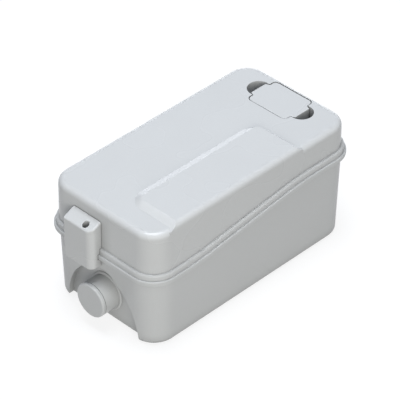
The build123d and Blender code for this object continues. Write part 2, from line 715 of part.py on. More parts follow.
def clamp_keepout(seam, grow):
    """Space at the front end that the clamp leaves to the tank, the lid and their flanges"""
    tank_side = slab(BASE_LENGTH + 2 * grow, BASE_WIDTH + 2 * grow, TANK_CORNER + grow, 0, seam,
                     TANK_DRAFT)
    lid_side = slab(LID_LENGTH + 2 * grow, LID_WIDTH + 2 * grow, LID_CORNER + grow, SEAM_FRONT, LID_TOP,
                    -LID_DRAFT)
    rim_grow = RIM_PROUD + grow
    rim = slab(LID_LENGTH + 2 * rim_grow, LID_WIDTH + 2 * rim_grow, LID_CORNER + rim_grow,
               seam - RIM_HEIGHT - grow, seam + grow)
    band_grow = BAND_PROUD + grow
    band = slab(LID_LENGTH + 2 * band_grow, LID_WIDTH + 2 * band_grow, LID_CORNER + band_grow,
                seam, seam + BAND_HEIGHT + grow)
    band = fillet(band.edges().group_by(Axis.Z)[-1], BAND_ROUND)
    return tank_side + lid_side + rim + band


def clamp_plan(inner, outer, right, left, corner, side_round):
    """Outline seen from above, rounded off at its two outer corners"""
    line = FilletPolyline((inner, right), (outer, right), (outer, left), (inner, left),
                          radius=(0, corner, side_round, 0), close=True)
    return make_face(line.edges())


def clamp(seam, above):
    """Front hood: its web holds the lid's band down while its screw pulls on the tank's lug"""
    inner = CLAMP_WALL - LID_LENGTH / 2
    outer = -(LID_LENGTH / 2 + CLAMP_DEPTH)
    low, high = seam - CLAMP_BELOW, seam + above
    right, left = CLAMP_OFFSET - CLAMP_WIDTH / 2, CLAMP_OFFSET + CLAMP_WIDTH / 2
    plan = clamp_plan(inner, outer, right, left, CLAMP_CORNER, CLAMP_SIDE_ROUND)
    hollow = clamp_plan(inner + 1, outer + CLAMP_WALL, right + CLAMP_WALL, left - CLAMP_WALL,
                        CLAMP_CORNER - CLAMP_WALL, 0)
    fall = (CLAMP_DEPTH + CLAMP_WALL) * tan(radians(CLAMP_FALL))
    side = Polyline((inner, low), (outer, low), (outer, high - fall), (inner, high), close=True)
    hood = raised(plan, low, high)
    hood = hood & extrude(Plane.XZ * make_face(side.edges()), amount=REACH, both=True)
    free = [e for e in hood.faces().sort_by(Axis.Z)[-1].edges() if e.center().X < inner - 1]
    under = [e for e in hood.faces().sort_by(Axis.Z)[0].edges() if e.center().X < inner - 1]
    hood = fillet(free + under, CLAMP_EDGE_ROUND)
    web_low = seam + BAND_HEIGHT + CLAMP_GAP
    web_high = web_low + CLAMP_WEB
    lower = raised(hollow, low + CLAMP_WALL, web_low)
    upper = raised(hollow, web_high, high - fall - CLAMP_WALL)
    at_screw = Pos(CLAMP_SCREW_X, CLAMP_SCREW_Y, 0)
    upper = upper - at_screw * rod(DRIVER_HOLE_RADIUS + CLAMP_WALL, low, high)
    hood = hood - lower - upper
    hood = hood - at_screw * rod(DRIVER_HOLE_RADIUS, web_high, high)
    hood = hood - at_screw * rod(SCREW_RADIUS + SCREW_CLEARANCE, web_low - 1, web_high + 1)
    foot = block((-(LID_LENGTH / 2 + BAND_PROUD), inner), (right + 2 * CLAMP_WALL, left - 2 * CLAMP_WALL),
                 (seam + BAND_HEIGHT - BAND_ROUND / 2, web_high))
    return hood - clamp_keepout(seam, CLAMP_GAP) + (foot - clamp_keepout(seam, 0))


def clamp_screws():
    seat = BAND_HEIGHT + CLAMP_GAP + CLAMP_WEB
    grip = seat + RIM_HEIGHT + LUG_HEIGHT
    front = screw(CLAMP_SCREW_X, CLAMP_SCREW_Y, SEAM_FRONT + seat, grip)
    rear = screw(CLAMP_SCREW_X, CLAMP_SCREW_Y, SEAM_REAR + seat, grip)
    return [front, turned(rear)]


def filter_cap():
    top = LID_TOP - CAP_SINK
    shell = raised(cap_plan(0), top - CAP_DEPTH, top)
    shell = fillet(shell.edges().group_by(Axis.Z)[-1], CAP_TAB_ROUND / 2)
    return Pos(WELL_X, 0, 0) * (shell - raised(cap_plan(-CAP_WALL), top - CAP_DEPTH, top - CAP_PLATE))


def filter_size():
    """Outer length and width of the cartridge that passes the duct"""
    return DUCT_LENGTH - 2 * FILTER_GAP, DUCT_WIDTH - 2 * FILTER_GAP


def filter_cartridge():
    """Slotted basket that hangs under the cap and reaches through the duct"""
    length, width = filter_size()
    top = LID_TOP - CAP_SINK - CAP_PLATE
    low = top - FILTER_HEIGHT
    basket = slab(length, width, DUCT_CORNER, low, top)
    basket = basket - slab(length - 2 * FILTER_WALL, width - 2 * FILTER_WALL, DUCT_CORNER - FILTER_WALL,
                           low + FILTER_WALL, top)
    pitch = (width - 2 * DUCT_CORNER) / FILTER_SLOTS
    open_low, open_high = low + 2 * FILTER_WALL, LID_TOP - WELL_DEPTH - 2 * WALL
    for step in range(FILTER_SLOTS):
        y = (step + 0.5 - FILTER_SLOTS / 2) * pitch
        span = (y - FILTER_SLOT_WIDTH / 2, y + FILTER_SLOT_WIDTH / 2)
        basket = basket - block((-length, length), span, (open_low, open_high))
        basket = basket - block((FILTER_END_MARGIN - length / 2, length / 2 - FILTER_END_MARGIN), span,
                                (low - 1, low + 2 * FILTER_WALL))
    return Pos(WELL_X, 0, 0) * basket


def carbon_block():
    length, width = filter_size()
    inside = FILTER_WALL + HOLE_CLEARANCE
    top = LID_TOP - CAP_SINK - CAP_PLATE
    return Pos(WELL_X, 0, 0) * slab(length - 2 * inside, width - 2 * inside, DUCT_CORNER - FILTER_WALL,
                                    top - FILTER_HEIGHT + FILTER_WALL + HOLE_CLEARANCE,
                                    top - CARBON_GAP)


def cap_seal():
    """Rubber frame round the cartridge that closes the duct under the cap"""
    length, width = filter_size()
    low = LID_TOP - WELL_DEPTH + CAP_SEAL_GAP
    high = low + CAP_SEAL_HEIGHT
    frame = slab(length + 2 * CAP_SEAL_WIDTH, width + 2 * CAP_SEAL_WIDTH, DUCT_CORNER + CAP_SEAL_WIDTH,
                 low, high)
    return Pos(WELL_X, 0, 0) * (frame - slab(length, width, DUCT_CORNER, low, high))


def inlet_cap():
    """Front blanking cap: a flange as wide as the stub, and a spigot with a ring groove"""
    spigot = INLET_BORE - CAP_SPIGOT_GAP
    start = INLET_LENGTH + CAP_FACE_GAP
    flange = rod(INLET_RADIUS, start, start + CAP_FLANGE)
    flange = fillet(flange.edges().group_by(Axis.Z)[-1], CAP_EDGE_ROUND)
    plug = rod(spigot, start - CAP_SPIGOT_LENGTH, start)
    hollow = rod(spigot - CAP_FACE_WALL, start - CAP_SPIGOT_LENGTH, start + CAP_FLANGE - CAP_FACE_WALL)
    middle = start - CAP_SPIGOT_LENGTH / 2
    groove = tube(INLET_BORE, spigot - RING_CORD / 2, middle - RING_CORD / 2, middle + RING_CORD / 2)
    return along_x(flange + plug - hollow - groove, -POCKET_BACK, 0, INLET_HEIGHT)


def inlet_cap_ring():
    spigot = INLET_BORE - CAP_SPIGOT_GAP
    middle = INLET_LENGTH + CAP_FACE_GAP - CAP_SPIGOT_LENGTH / 2
    ring = tube(INLET_BORE - RING_GAP, spigot - RING_CORD / 2, middle - RING_CORD / 2,
                middle + RING_CORD / 2)
    return along_x(ring, -POCKET_BACK, 0, INLET_HEIGHT)


def inlet_flap():
    """Front flap: a rubber-faced disc that hangs on its pin and covers the seat"""
    x, z = flap_axis()
    face = FLAP_SEAT_HEIGHT + FLAP_GAP - (POCKET_BACK - WALL)
    disc = along_x(rod(INLET_BORE + FLAP_OVERLAP, -FLAP_THICKNESS, 0), face, 0, INLET_HEIGHT)
    arm = block((face, face + FLAP_THICKNESS), (-FLAP_ARM / 2, FLAP_ARM / 2), (INLET_HEIGHT, z))
    eye = Pos(x, 0, z) * Rot(90, 0, 0) * Cylinder(PIN_RADIUS + FLAP_EYE, FLAP_ARM)
    pin = Pos(x, 0, z) * Rot(90, 0, 0) * Cylinder(PIN_RADIUS, FLAP_ARM + 2 * (DECK_CLEARANCE + FLAP_LUG))
    return disc + arm + eye + pin


def equipment_deck():
    """Tray that rests on the tank's posts"""
    deck = slab(DECK_LENGTH, DECK_WIDTH, DECK_CORNER, DECK_LEVEL, DECK_TOP)
    lip = slab(DECK_LENGTH, DECK_WIDTH, DECK_CORNER, DECK_TOP, DECK_TOP + DECK_LIP)
    lip = lip - slab(DECK_LENGTH - 2 * DECK_LIP_WIDTH, DECK_WIDTH - 2 * DECK_LIP_WIDTH,
                     DECK_CORNER - DECK_LIP_WIDTH, DECK_TOP, DECK_TOP + DECK_LIP)
    deck = deck + lip
    low, high = DECK_LEVEL - 1, DECK_TOP + 1
    deck = deck - Pos(PUMP_X, 0, 0) * rod(SEAL_RADIUS + COLUMN_WALL, low, high)
    deck = deck - Pos(BELL_X, BELL_Y, 0) * rod(BELL_RADIUS + DECK_CLEARANCE, low, high)
    riser = rod(OUTLET_RADIUS + RISER_WALL + DECK_CLEARANCE, low, high)
    deck = deck - Pos(RISER_X, OUTLET_OFFSET, 0) * riser
    for x, y in post_places() + motor_screw_places():
        deck = deck - Pos(x, y, 0) * rod(SCREW_RADIUS + SCREW_CLEARANCE, low, high)
    return deck


def deck_screws():
    grip = DECK_THICKNESS + SCREW_GRIP - SCREW_TIP_GAP
    return [screw(x, y, DECK_TOP, grip) for x, y in post_places()]


def motor_screw_places():
    places = []
    for step in range(MOTOR_SCREWS):
        turn = 2 * pi * (step + 0.5) / MOTOR_SCREWS
        places.append((PUMP_X + MOTOR_SCREW_CIRCLE * cos(turn), MOTOR_SCREW_CIRCLE * sin(turn)))
    return places


def volute_plan(grow):
    """Spiral chamber that widens clockwise from the tongue to the outlet, grown by a wall"""
    points = []
    for turn in range(0, 361, 30):
        radius = VOLUTE_RADIUS + grow + VOLUTE_GROWTH * turn / 360
        points.append((radius * sin(radians(turn)), radius * cos(radians(turn))))
    return make_face(Spline(*points).edges() + [Line(points[-1], points[0])])


def pump_lugs(low, high):
    """Screw ears round the pump's casing"""
    ear = Pos(PUMP_SCREW_CIRCLE, 0, 0) * rod(PUMP_LUG_RADIUS, low, high)
    ear = ear + block((VOLUTE_RADIUS, PUMP_SCREW_CIRCLE), (-PUMP_LUG_RADIUS, PUMP_LUG_RADIUS), (low, high))
    return [Rot(0, 0, angle) * (ear - rod(VOLUTE_RADIUS + VOLUTE_GROWTH / 2, low, high))
            for angle in PUMP_LUG_ANGLES]


def pump_screw_places():
    return [(PUMP_X + PUMP_SCREW_CIRCLE * cos(radians(angle)), PUMP_SCREW_CIRCLE * sin(radians(angle)))
            for angle in PUMP_LUG_ANGLES]


def pump_volute():
    """Spiral casing, open above, with the suction eye below and the outlet towards +X"""
    inside = volute_plan(0)
    floor = VOLUTE_BOTTOM + VOLUTE_WALL
    shell = raised(volute_plan(VOLUTE_WALL), VOLUTE_BOTTOM, VOLUTE_TOP)
    outlet = along_x(rod(OUTLET_RADIUS + RISER_WALL + VOLUTE_WALL, -OUTLET_REACH, VOLUTE_WALL),
                     0, OUTLET_OFFSET, OUTLET_LEVEL)
    outlet = outlet - rod(VOLUTE_RADIUS + VOLUTE_GROWTH + VOLUTE_WALL + 1, VOLUTE_TOP, DECK_LEVEL)
    shell = shell + outlet + pump_lugs(VOLUTE_TOP - SCREW_GRIP, VOLUTE_TOP)
    shell = shell - raised(inside, floor, VOLUTE_TOP)
    shell = shell - along_x(rod(OUTLET_RADIUS, -OUTLET_REACH, VOLUTE_WALL), 0, OUTLET_OFFSET, OUTLET_LEVEL)
    shell = shell - along_x(rod(OUTLET_RADIUS + RISER_WALL, -OUTLET_REACH, SOCKET_DEPTH - OUTLET_REACH),
                            0, OUTLET_OFFSET, OUTLET_LEVEL)
    shell = Pos(PUMP_X, 0, 0) * (shell - rod(SUCTION_EYE, VOLUTE_BOTTOM, floor))
    for x, y in pump_screw_places():
        pilot = rod(SCREW_RADIUS, VOLUTE_TOP - SCREW_GRIP + SCREW_TIP_GAP, VOLUTE_TOP)
        shell = shell - Pos(x, y, 0) * pilot
    return shell


def suction_strainer():
    """Slotted skirt under the suction eye"""
    low = VOLUTE_BOTTOM - STRAINER_HEIGHT
    skirt = tube(STRAINER_RADIUS, STRAINER_RADIUS - STRAINER_WALL, low, VOLUTE_BOTTOM)
    skirt = skirt + tube(STRAINER_RADIUS, SUCTION_EYE, VOLUTE_BOTTOM - STRAINER_WALL, VOLUTE_BOTTOM)
    slot = Pos(STRAINER_RADIUS, 0, low) * Box(4 * STRAINER_WALL, STRAINER_SLOT_WIDTH, STRAINER_HEIGHT)
    return Pos(PUMP_X, 0, 0) * (skirt - around(STRAINER_SLOTS, slot))


def seal_housing():
    """Casting that closes the volute, holds the shaft seal and hangs from the deck"""
    seal_low = VOLUTE_TOP + COLUMN_DISC
    disc = rod(VOLUTE_RADIUS + VOLUTE_GROWTH + VOLUTE_WALL, VOLUTE_TOP, seal_low)
    column = tube(COLUMN_RADIUS, COLUMN_RADIUS - COLUMN_WALL, VOLUTE_TOP, DECK_LEVEL)
    flange = tube(CAN_FLANGE_RADIUS, COLUMN_RADIUS - COLUMN_WALL, DECK_LEVEL - COLUMN_FLANGE, DECK_LEVEL)
    pocket_wall = rod(SEAL_RADIUS + COLUMN_WALL, VOLUTE_TOP, seal_low + SEAL_HEIGHT)
    body = disc + column + flange + pocket_wall + pump_lugs(VOLUTE_TOP, seal_low)
    body = body - rod(SEAL_RADIUS, seal_low, DECK_LEVEL)
    body = body - rod(SHAFT_RADIUS + IMPELLER_GAP, VOLUTE_TOP, DECK_LEVEL)
    body = Pos(PUMP_X, 0, 0) * body
    for x, y in motor_screw_places():
        body = body - Pos(x, y, 0) * rod(SCREW_RADIUS, DECK_LEVEL - COLUMN_FLANGE, DECK_LEVEL)
    for x, y in pump_screw_places():
        body = body - Pos(x, y, 0) * rod(SCREW_RADIUS + SCREW_CLEARANCE, VOLUTE_TOP, seal_low)
    return body


def pump_screws():
    seat = VOLUTE_TOP + COLUMN_DISC
    grip = COLUMN_DISC + SCREW_GRIP - 2 * SCREW_TIP_GAP
    return [screw(x, y, seat, grip) for x, y in pump_screw_places()]


def shaft_seal():
    """Seal in its pocket, with a recess between its case and its lip"""
    low = VOLUTE_TOP + COLUMN_DISC
    high = low + SEAL_HEIGHT
    ring = tube(SEAL_RADIUS, SHAFT_RADIUS + SHAFT_CLEARANCE, low, high)
    recess = tube(SEAL_RADIUS - SEAL_LIP, SHAFT_RADIUS + SEAL_LIP, high - SEAL_RECESS, high)
    return Pos(PUMP_X, 0, 0) * (ring - recess)


def bearing(low):
    """Ball bearing with the gap between its races showing on both faces"""
    high = low + BEARING_HEIGHT
    ring = tube(BEARING_RADIUS, SHAFT_RADIUS + SHAFT_CLEARANCE, low, high)
    for face in (low, high - BEARING_STEP):
        gap = tube(BEARING_RADIUS - BEARING_RACE, SHAFT_RADIUS + BEARING_RACE, face, face + BEARING_STEP)
        ring = ring - gap
    return Pos(PUMP_X, 0, 0) * ring


def lower_bearing_level():
    return DECK_TOP + CAN_FLOOR / 2


def upper_bearing_level():
    return CAN_TOP - BEARING_HEIGHT


def motor_housing():
    """Cup that holds the stator, flanged to the deck and ribbed for cooling"""
    outer = STATOR_RADIUS + CAN_WALL
    floor = DECK_TOP + CAN_FLOOR
    cup = rod(outer, DECK_TOP, CAN_TOP) + rod(CAN_FLANGE_RADIUS, DECK_TOP, floor)
    rib = Pos(outer, 0, (DECK_TOP + CAN_TOP) / 2) * Box(2 * CAN_RIB, CAN_RIB, CAN_TOP - DECK_TOP)
    cup = cup + around(CAN_RIBS, rib) - rod(STATOR_RADIUS, floor, CAN_TOP)
    top = lower_bearing_level() + BEARING_HEIGHT
    cup = cup + rod(BEARING_RADIUS + CAN_WALL, DECK_TOP, top)
    cup = cup - rod(BEARING_RADIUS, lower_bearing_level(), top)
    cup = cup - rod(SHAFT_RADIUS + SHAFT_RELIEF, DECK_TOP, top)
    cup = Pos(PUMP_X, 0, 0) * cup
    for x, y in motor_screw_places():
        cup = cup - Pos(x, y, 0) * rod(SCREW_RADIUS + SCREW_CLEARANCE, DECK_TOP, floor)
    return cup


def motor_end_cap():
    """Lid of the motor, with the upper bearing's pocket under it"""
    outer = STATOR_RADIUS + CAN_WALL
    top = CAN_TOP + END_CAP_THICKNESS
    plate = rod(outer + CAN_RIB, CAN_TOP, top)
    plate = fillet(plate.edges().group_by(Axis.Z)[-1], END_CAP_ROUND)
    low = upper_bearing_level()
    hub = rod(BEARING_RADIUS + CAN_WALL, low, SHAFT_TOP + END_CAP_THICKNESS)
    spigot = tube(STATOR_RADIUS, STATOR_RADIUS - CAN_WALL, CAN_TOP - END_CAP_SPIGOT, CAN_TOP)
    body = plate + hub + spigot - rod(BEARING_RADIUS, low, CAN_TOP)
    return Pos(PUMP_X, 0, 0) * (body - rod(SHAFT_RADIUS + SHAFT_RELIEF, CAN_TOP, SHAFT_TOP + SHAFT_RELIEF))


def motor_screws():
    floor = DECK_TOP + CAN_FLOOR
    grip = CAN_FLOOR + DECK_THICKNESS + COLUMN_FLANGE
    return [screw(x, y, floor, grip) for x, y in motor_screw_places()]


def stator_slots(grow):
    """Slots between the stator's teeth, open to the bore through a narrow mouth"""
    low, high = ROTOR_BOTTOM, ROTOR_BOTTOM + ROTOR_HEIGHT
    inner = ROTOR_RADIUS + AIR_GAP + STATOR_TOOTH
    wide = block((inner + grow, inner + STATOR_SLOT_DEPTH - grow),
                 (grow - STATOR_SLOT_WIDTH / 2, STATOR_SLOT_WIDTH / 2 - grow), (low, high))
    return around(STATOR_SLOTS, wide)


def motor_stator():
    low, high = ROTOR_BOTTOM, ROTOR_BOTTOM + ROTOR_HEIGHT
    core = tube(STATOR_RADIUS, ROTOR_RADIUS + AIR_GAP, low, high)
    return Pos(PUMP_X, 0, 0) * (core - stator_slots(0))


def stator_windings():
    """Copper in the slots, with a rounded bundle over each end of the core"""
    inner = ROTOR_RADIUS + AIR_GAP + STATOR_TOOTH
    outer = inner + STATOR_SLOT_DEPTH
    low, high = ROTOR_BOTTOM, ROTOR_BOTTOM + ROTOR_HEIGHT
    upper = tube(outer, inner, high, high + WINDING_OVERHANG)
    upper = fillet(upper.edges().group_by(Axis.Z)[-1], WINDING_ROUND)
    lower = tube(outer, inner, low - WINDING_OVERHANG, low)
    lower = fillet(lower.edges().group_by(Axis.Z)[0], WINDING_ROUND)
    return Pos(PUMP_X, 0, 0) * (upper + lower + stator_slots(WINDING_GAP))


def motor_rotor():
    low, high = ROTOR_BOTTOM, ROTOR_BOTTOM + ROTOR_HEIGHT
    core = tube(ROTOR_RADIUS, SHAFT_RADIUS, low, high)
    outer = ROTOR_RADIUS - ROTOR_RING_INSET
    inner = outer - ROTOR_RING_WIDTH
    rings = [tube(outer, inner, low - ROTOR_RING, low), tube(outer, inner, high, high + ROTOR_RING)]
    return Pos(PUMP_X, 0, 0) * (core + rings)


def motor_shaft():
    body = rod(SHAFT_RADIUS, SHAFT_BOTTOM, SHAFT_TOP)
    ends = body.edges().group_by(Axis.Z)
    return Pos(PUMP_X, 0, 0) * chamfer(ends[0] + ends[-1], SHAFT_CHAMFER)


def blade():
    """One impeller blade: part of a ring that leans back from the hub to the rim"""
    arc = Circle(BLADE_ARC_RADIUS + BLADE_THICKNESS / 2) - Circle(BLADE_ARC_RADIUS - BLADE_THICKNESS / 2)
    arc = Pos(BLADE_ARC_OFFSET, 0) * arc
    zone = Circle(IMPELLER_RADIUS) - Circle(IMPELLER_HUB - 1)
    side = Pos(0, IMPELLER_RADIUS) * Rectangle(4 * IMPELLER_RADIUS, 2 * IMPELLER_RADIUS)
    return arc & zone & side


def impeller():
    """Semi-open impeller: blades hang from a disc with a hub"""
    top = IMPELLER_BOTTOM + IMPELLER_HEIGHT
    wheel = rod(IMPELLER_RADIUS, top - IMPELLER_DISC, top)
    wheel = wheel + rod(IMPELLER_HUB, IMPELLER_BOTTOM, VOLUTE_TOP - IMPELLER_GAP)
    wheel = wheel + around(BLADE_COUNT, raised(blade(), IMPELLER_BOTTOM, top - IMPELLER_DISC / 2))
    return Pos(PUMP_X, 0, 0) * (wheel - rod(SHAFT_RADIUS, SHAFT_BOTTOM, VOLUTE_TOP))


def impeller_nut():
    nut = raised(RegularPolygon(NUT_RADIUS, 6), IMPELLER_BOTTOM - NUT_HEIGHT, IMPELLER_BOTTOM)
    return Pos(PUMP_X, 0, 0) * (nut - rod(SHAFT_RADIUS, SHAFT_BOTTOM, IMPELLER_BOTTOM))


def run_capacitor():
    can = rod(CAPACITOR_RADIUS, DECK_TOP, DECK_TOP + CAPACITOR_HEIGHT)
    can = fillet(can.edges(), CAPACITOR_ROUND)
    top = DECK_TOP + CAPACITOR_HEIGHT
    tab = Box(TAB_THICKNESS, TAB_WIDTH, 2 * TAB_HEIGHT)
    tabs = [Pos(side * CAPACITOR_RADIUS / 2, 0, top) * tab for side in (-1, 1)]
    return Pos(CAPACITOR_X, CAPACITOR_Y, 0) * (can + tabs)


def control_box():
    top = DECK_TOP + BOX_HEIGHT
    tray = slab(BOX_LENGTH, BOX_WIDTH, BOX_CORNER, DECK_TOP, top)
    tray = tray - slab(BOX_LENGTH - 2 * BOX_WALL, BOX_WIDTH - 2 * BOX_WALL, BOX_CORNER - BOX_WALL,
                       DECK_TOP + BOX_WALL, top)
    x = BOX_LENGTH / 2 - BOX_WALL - BOARD_FOOT_INSET
    y = BOX_WIDTH / 2 - BOX_WALL - BOARD_FOOT_INSET
    foot = rod(BOARD_FOOT_RADIUS, DECK_TOP + BOX_WALL / 2, DECK_TOP + BOARD_LIFT)
    feet = [Pos(i, j, 0) * foot for i in (-x, x) for j in (-y, y)]
    notch = block((-WIRE_NOTCH_WIDTH / 2, WIRE_NOTCH_WIDTH / 2),
                  (BOX_WIDTH / 2 - 2 * BOX_WALL, BOX_WIDTH), (top - WIRE_NOTCH_DEPTH, top))
    return Pos(BOX_X, BOX_Y, 0) * (tray + feet - notch)


def control_box_cover():
    top = DECK_TOP + BOX_HEIGHT
    cover = slab(BOX_LENGTH, BOX_WIDTH, BOX_CORNER, top, top + BOX_COVER)
    inner = BOX_WALL + BOARD_GAP
    low = top - BOX_COVER_LIP
    lip = slab(BOX_LENGTH - 2 * inner, BOX_WIDTH - 2 * inner, BOX_CORNER - BOX_WALL, low, top)
    core = slab(BOX_LENGTH - 4 * inner, BOX_WIDTH - 4 * inner, BOX_WALL / 2, low, top)
    return Pos(BOX_X, BOX_Y, 0) * (cover + lip - core)


def board_size():
    return BOX_LENGTH - 2 * (BOX_WALL + BOARD_GAP), BOX_WIDTH - 2 * (BOX_WALL + BOARD_GAP)


def board_top():
    return DECK_TOP + BOARD_LIFT + BOARD_THICKNESS


def control_board():
    """Circuit board with its processor at one end and a smoothing capacitor at the other"""
    length, width = board_size()
    top = board_top()
    board = block((-length / 2, length / 2), (-width / 2, width / 2), (top - BOARD_THICKNESS, top))
    start = CHIP_INSET - length / 2
    chip = block((start, start + CHIP_SIZE), (-CHIP_SIZE / 2, CHIP_SIZE / 2), (top, top + CHIP_HEIGHT))
    can = rod(BOARD_CAN_RADIUS, top - BOARD_THICKNESS / 2, top + BOARD_CAN_HEIGHT)
    can = Pos(length / 2 - BOARD_CAN_INSET, 0, 0) * can
    return Pos(BOX_X, BOX_Y, 0) * (board + chip + can)


def relay():
    near = BOARD_EDGE - board_size()[1] / 2
    body = block((-RELAY_SIZE / 2, RELAY_SIZE / 2), (near, near + RELAY_SIZE),
                 (board_top(), board_top() + RELAY_HEIGHT))
    return Pos(BOX_X, BOX_Y, 0) * fillet(body.edges().group_by(Axis.Z)[-1], RELAY_ROUND)


def terminal_block():
    """Row of screw terminals beside the cable entry"""
    far = board_size()[1] / 2 - BOARD_EDGE
    low, high = board_top(), board_top() + TERMINAL_HEIGHT
    body = block((-TERMINAL_LENGTH / 2, TERMINAL_LENGTH / 2), (far - TERMINAL_WIDTH, far), (low, high))
    pitch = TERMINAL_LENGTH / TERMINAL_WAYS
    entry = block((-TERMINAL_ENTRY / 2, TERMINAL_ENTRY / 2), (far - TERMINAL_RECESS, far),
                  (low + TERMINAL_SCREW, low + TERMINAL_SCREW + TERMINAL_ENTRY))
    for way in range(TERMINAL_WAYS):
        x = (way + 0.5) * pitch - TERMINAL_LENGTH / 2
        recess = rod(TERMINAL_SCREW, high - TERMINAL_RECESS, high)
        body = body - Pos(x, far - TERMINAL_WIDTH / 2, 0) * recess - Pos(x, 0, 0) * entry
    return Pos(BOX_X, BOX_Y, 0) * body


def gland_face():
    """Y of the flat pad outside the wall, under the gland's hexagon"""
    return wall_half_width(GLAND_LEVEL) + BOSS_STANDOFF


def gland_inside():
    """Y of the flat pad inside the wall, under the lock nut"""
    return wall_half_width(GLAND_LEVEL) - WALL - BOSS_STANDOFF


def at_gland(solid, y):
    return along_y(solid, GLAND_X, y, GLAND_LEVEL)


def cable_gland():
    """Threaded body of the cable gland, through the tank's far wall"""
    inside = gland_face() - gland_inside() + LOCKNUT_HEIGHT + 1
    body = rod(GLAND_THREAD, -inside, 0) + raised(RegularPolygon(GLAND_HEX, 6), 0, GLAND_HEX_HEIGHT)
    body = body + rod(GLAND_THREAD, 0, GLAND_REACH)
    body = body - rod(GLAND_INSERT, GLAND_HEX_HEIGHT / 2, GLAND_REACH)
    return at_gland(body - rod(GLAND_BORE + GLAND_RELIEF, -inside, GLAND_REACH), gland_face())


def gland_insert():
    return at_gland(tube(GLAND_INSERT, GLAND_BORE, GLAND_HEX_HEIGHT / 2, GLAND_REACH), gland_face())


def gland_nut():
    """Domed nut that squeezes the insert round a cable"""
    low = GLAND_HEX_HEIGHT + GLAND_NUT_GAP
    high = low + GLAND_NUT_HEIGHT
    nut = raised(RegularPolygon(GLAND_HEX, 6), low, low + GLAND_NUT_HEIGHT / 2)
    dome = rod(GLAND_HEX - GLAND_DOME_INSET, low, high)
    dome = fillet(dome.edges().group_by(Axis.Z)[-1], GLAND_DOME_ROUND)
    nut = nut + dome - rod(GLAND_THREAD, low, GLAND_REACH) - rod(GLAND_BORE + GLAND_RELIEF, low, high)
    return at_gland(nut, gland_face())


def gland_locknut():
    nut = raised(RegularPolygon(GLAND_HEX, 6), -LOCKNUT_HEIGHT, 0)
    return at_gland(nut - rod(GLAND_THREAD, -LOCKNUT_HEIGHT, 0), gland_inside())


def level_bell():
    """Tube that traps air above the rising water, hung in the deck by its flange"""
    top = DECK_TOP + BELL_FLANGE
    body = rod(BELL_RADIUS, BELL_MOUTH, top) + rod(BELL_FLANGE_RADIUS, DECK_TOP, top)
    body = body - rod(BELL_RADIUS - BELL_WALL, BELL_MOUTH, top - BELL_FLANGE)
    return Pos(BELL_X, BELL_Y, 0) * (body - rod(AIR_HOLE, BELL_MOUTH, top))


def switch_levels():
    """Underside of the switch, the two faces that clamp its diaphragm, and its top"""
    low = DECK_TOP + BELL_FLANGE
    part = low + SWITCH_BASE
    return low, part, part + DIAPHRAGM_THICKNESS, part + DIAPHRAGM_THICKNESS + SWITCH_COVER


def level_switch_base():
    low, part = switch_levels()[:2]
    cup = rod(SWITCH_RADIUS, low, part) - rod(SWITCH_RADIUS - SWITCH_WALL, low + SWITCH_FLOOR, part)
    return Pos(BELL_X, BELL_Y, 0) * (cup - rod(AIR_HOLE, low, part))


def level_switch_cover():
    part, top = switch_levels()[2:]
    cup = rod(SWITCH_RADIUS, part, top)
    cup = fillet(cup.edges().group_by(Axis.Z)[-1], SWITCH_FLOOR / 2)
    cup = cup - rod(SWITCH_RADIUS - SWITCH_WALL, part, top - SWITCH_FLOOR)
    return Pos(BELL_X, BELL_Y, 0) * (cup - rod(PLUNGER_RADIUS + PIN_CLEARANCE, part, top))


def switch_diaphragm():
    """Rubber membrane clamped at its edge, with a roll that lets its middle lift"""
    low, high = switch_levels()[1:3]
    middle = SWITCH_RADIUS - SWITCH_WALL - 2 * DIAPHRAGM_ROLL
    sheet = rod(SWITCH_RADIUS, low, high)
    roll = tube(middle + DIAPHRAGM_ROLL, middle, low - DIAPHRAGM_ROLL, low)
    groove = tube(middle + DIAPHRAGM_ROLL * 3 / 4, middle + DIAPHRAGM_ROLL / 4,
                  low - DIAPHRAGM_ROLL / 2, high)
    return Pos(BELL_X, BELL_Y, 0) * (sheet + roll - groove)


def switch_plunger():
    """Plate and stem that the diaphragm lifts"""
    part, top = switch_levels()[2:]
    low = part + PLUNGER_GAP
    plate = rod(SWITCH_RADIUS - SWITCH_WALL - 2 * DIAPHRAGM_ROLL, low, low + PLUNGER_PLATE)
    boss = rod(2 * PLUNGER_RADIUS, low, low + 2 * PLUNGER_PLATE)
    return Pos(BELL_X, BELL_Y, 0) * (plate + boss + rod(PLUNGER_RADIUS, low, top + PLUNGER_PLATE))


def microswitch():
    """Snap switch straddling the plunger on the cover"""
    top = switch_levels()[3]
    half, high = MICROSWITCH_LENGTH / 2, top + MICROSWITCH_HEIGHT
    body = block((-half, half), (-MICROSWITCH_WIDTH / 2, MICROSWITCH_WIDTH / 2), (top, high))
    well = rod(PLUNGER_RADIUS + PLUNGER_GAP, top, top + PLUNGER_PLATE + PLUNGER_TRAVEL + PLUNGER_GAP)
    end = half - MICROSWITCH_TAB_INSET
    tab = Box(TAB_THICKNESS, TAB_WIDTH, TAB_HEIGHT)
    terminals = [Pos(x, 0, high) * tab for x in (-end, 0, end)]
    return Pos(BELL_X, BELL_Y, 0) * (body - well + terminals)


def discharge_riser():
    """Pipe from the pump's outlet up through the deck to the valve"""
    start = PUMP_X + OUTLET_REACH - SOCKET_DEPTH
    y = OUTLET_OFFSET
    path = FilletPolyline((start, y, OUTLET_LEVEL), (RISER_X, y, OUTLET_LEVEL),
                          (RISER_X, y, DISCHARGE_LEVEL), (VALVE_START + SOCKET_DEPTH, y, DISCHARGE_LEVEL),
                          radius=RISER_BEND)
    section = Plane(origin=path @ 0, z_dir=path % 0)
    outer = sweep(section * Circle(OUTLET_RADIUS + RISER_WALL), path=path)
    inner = sweep(section * Circle(OUTLET_RADIUS), path=path)
    return outer - inner


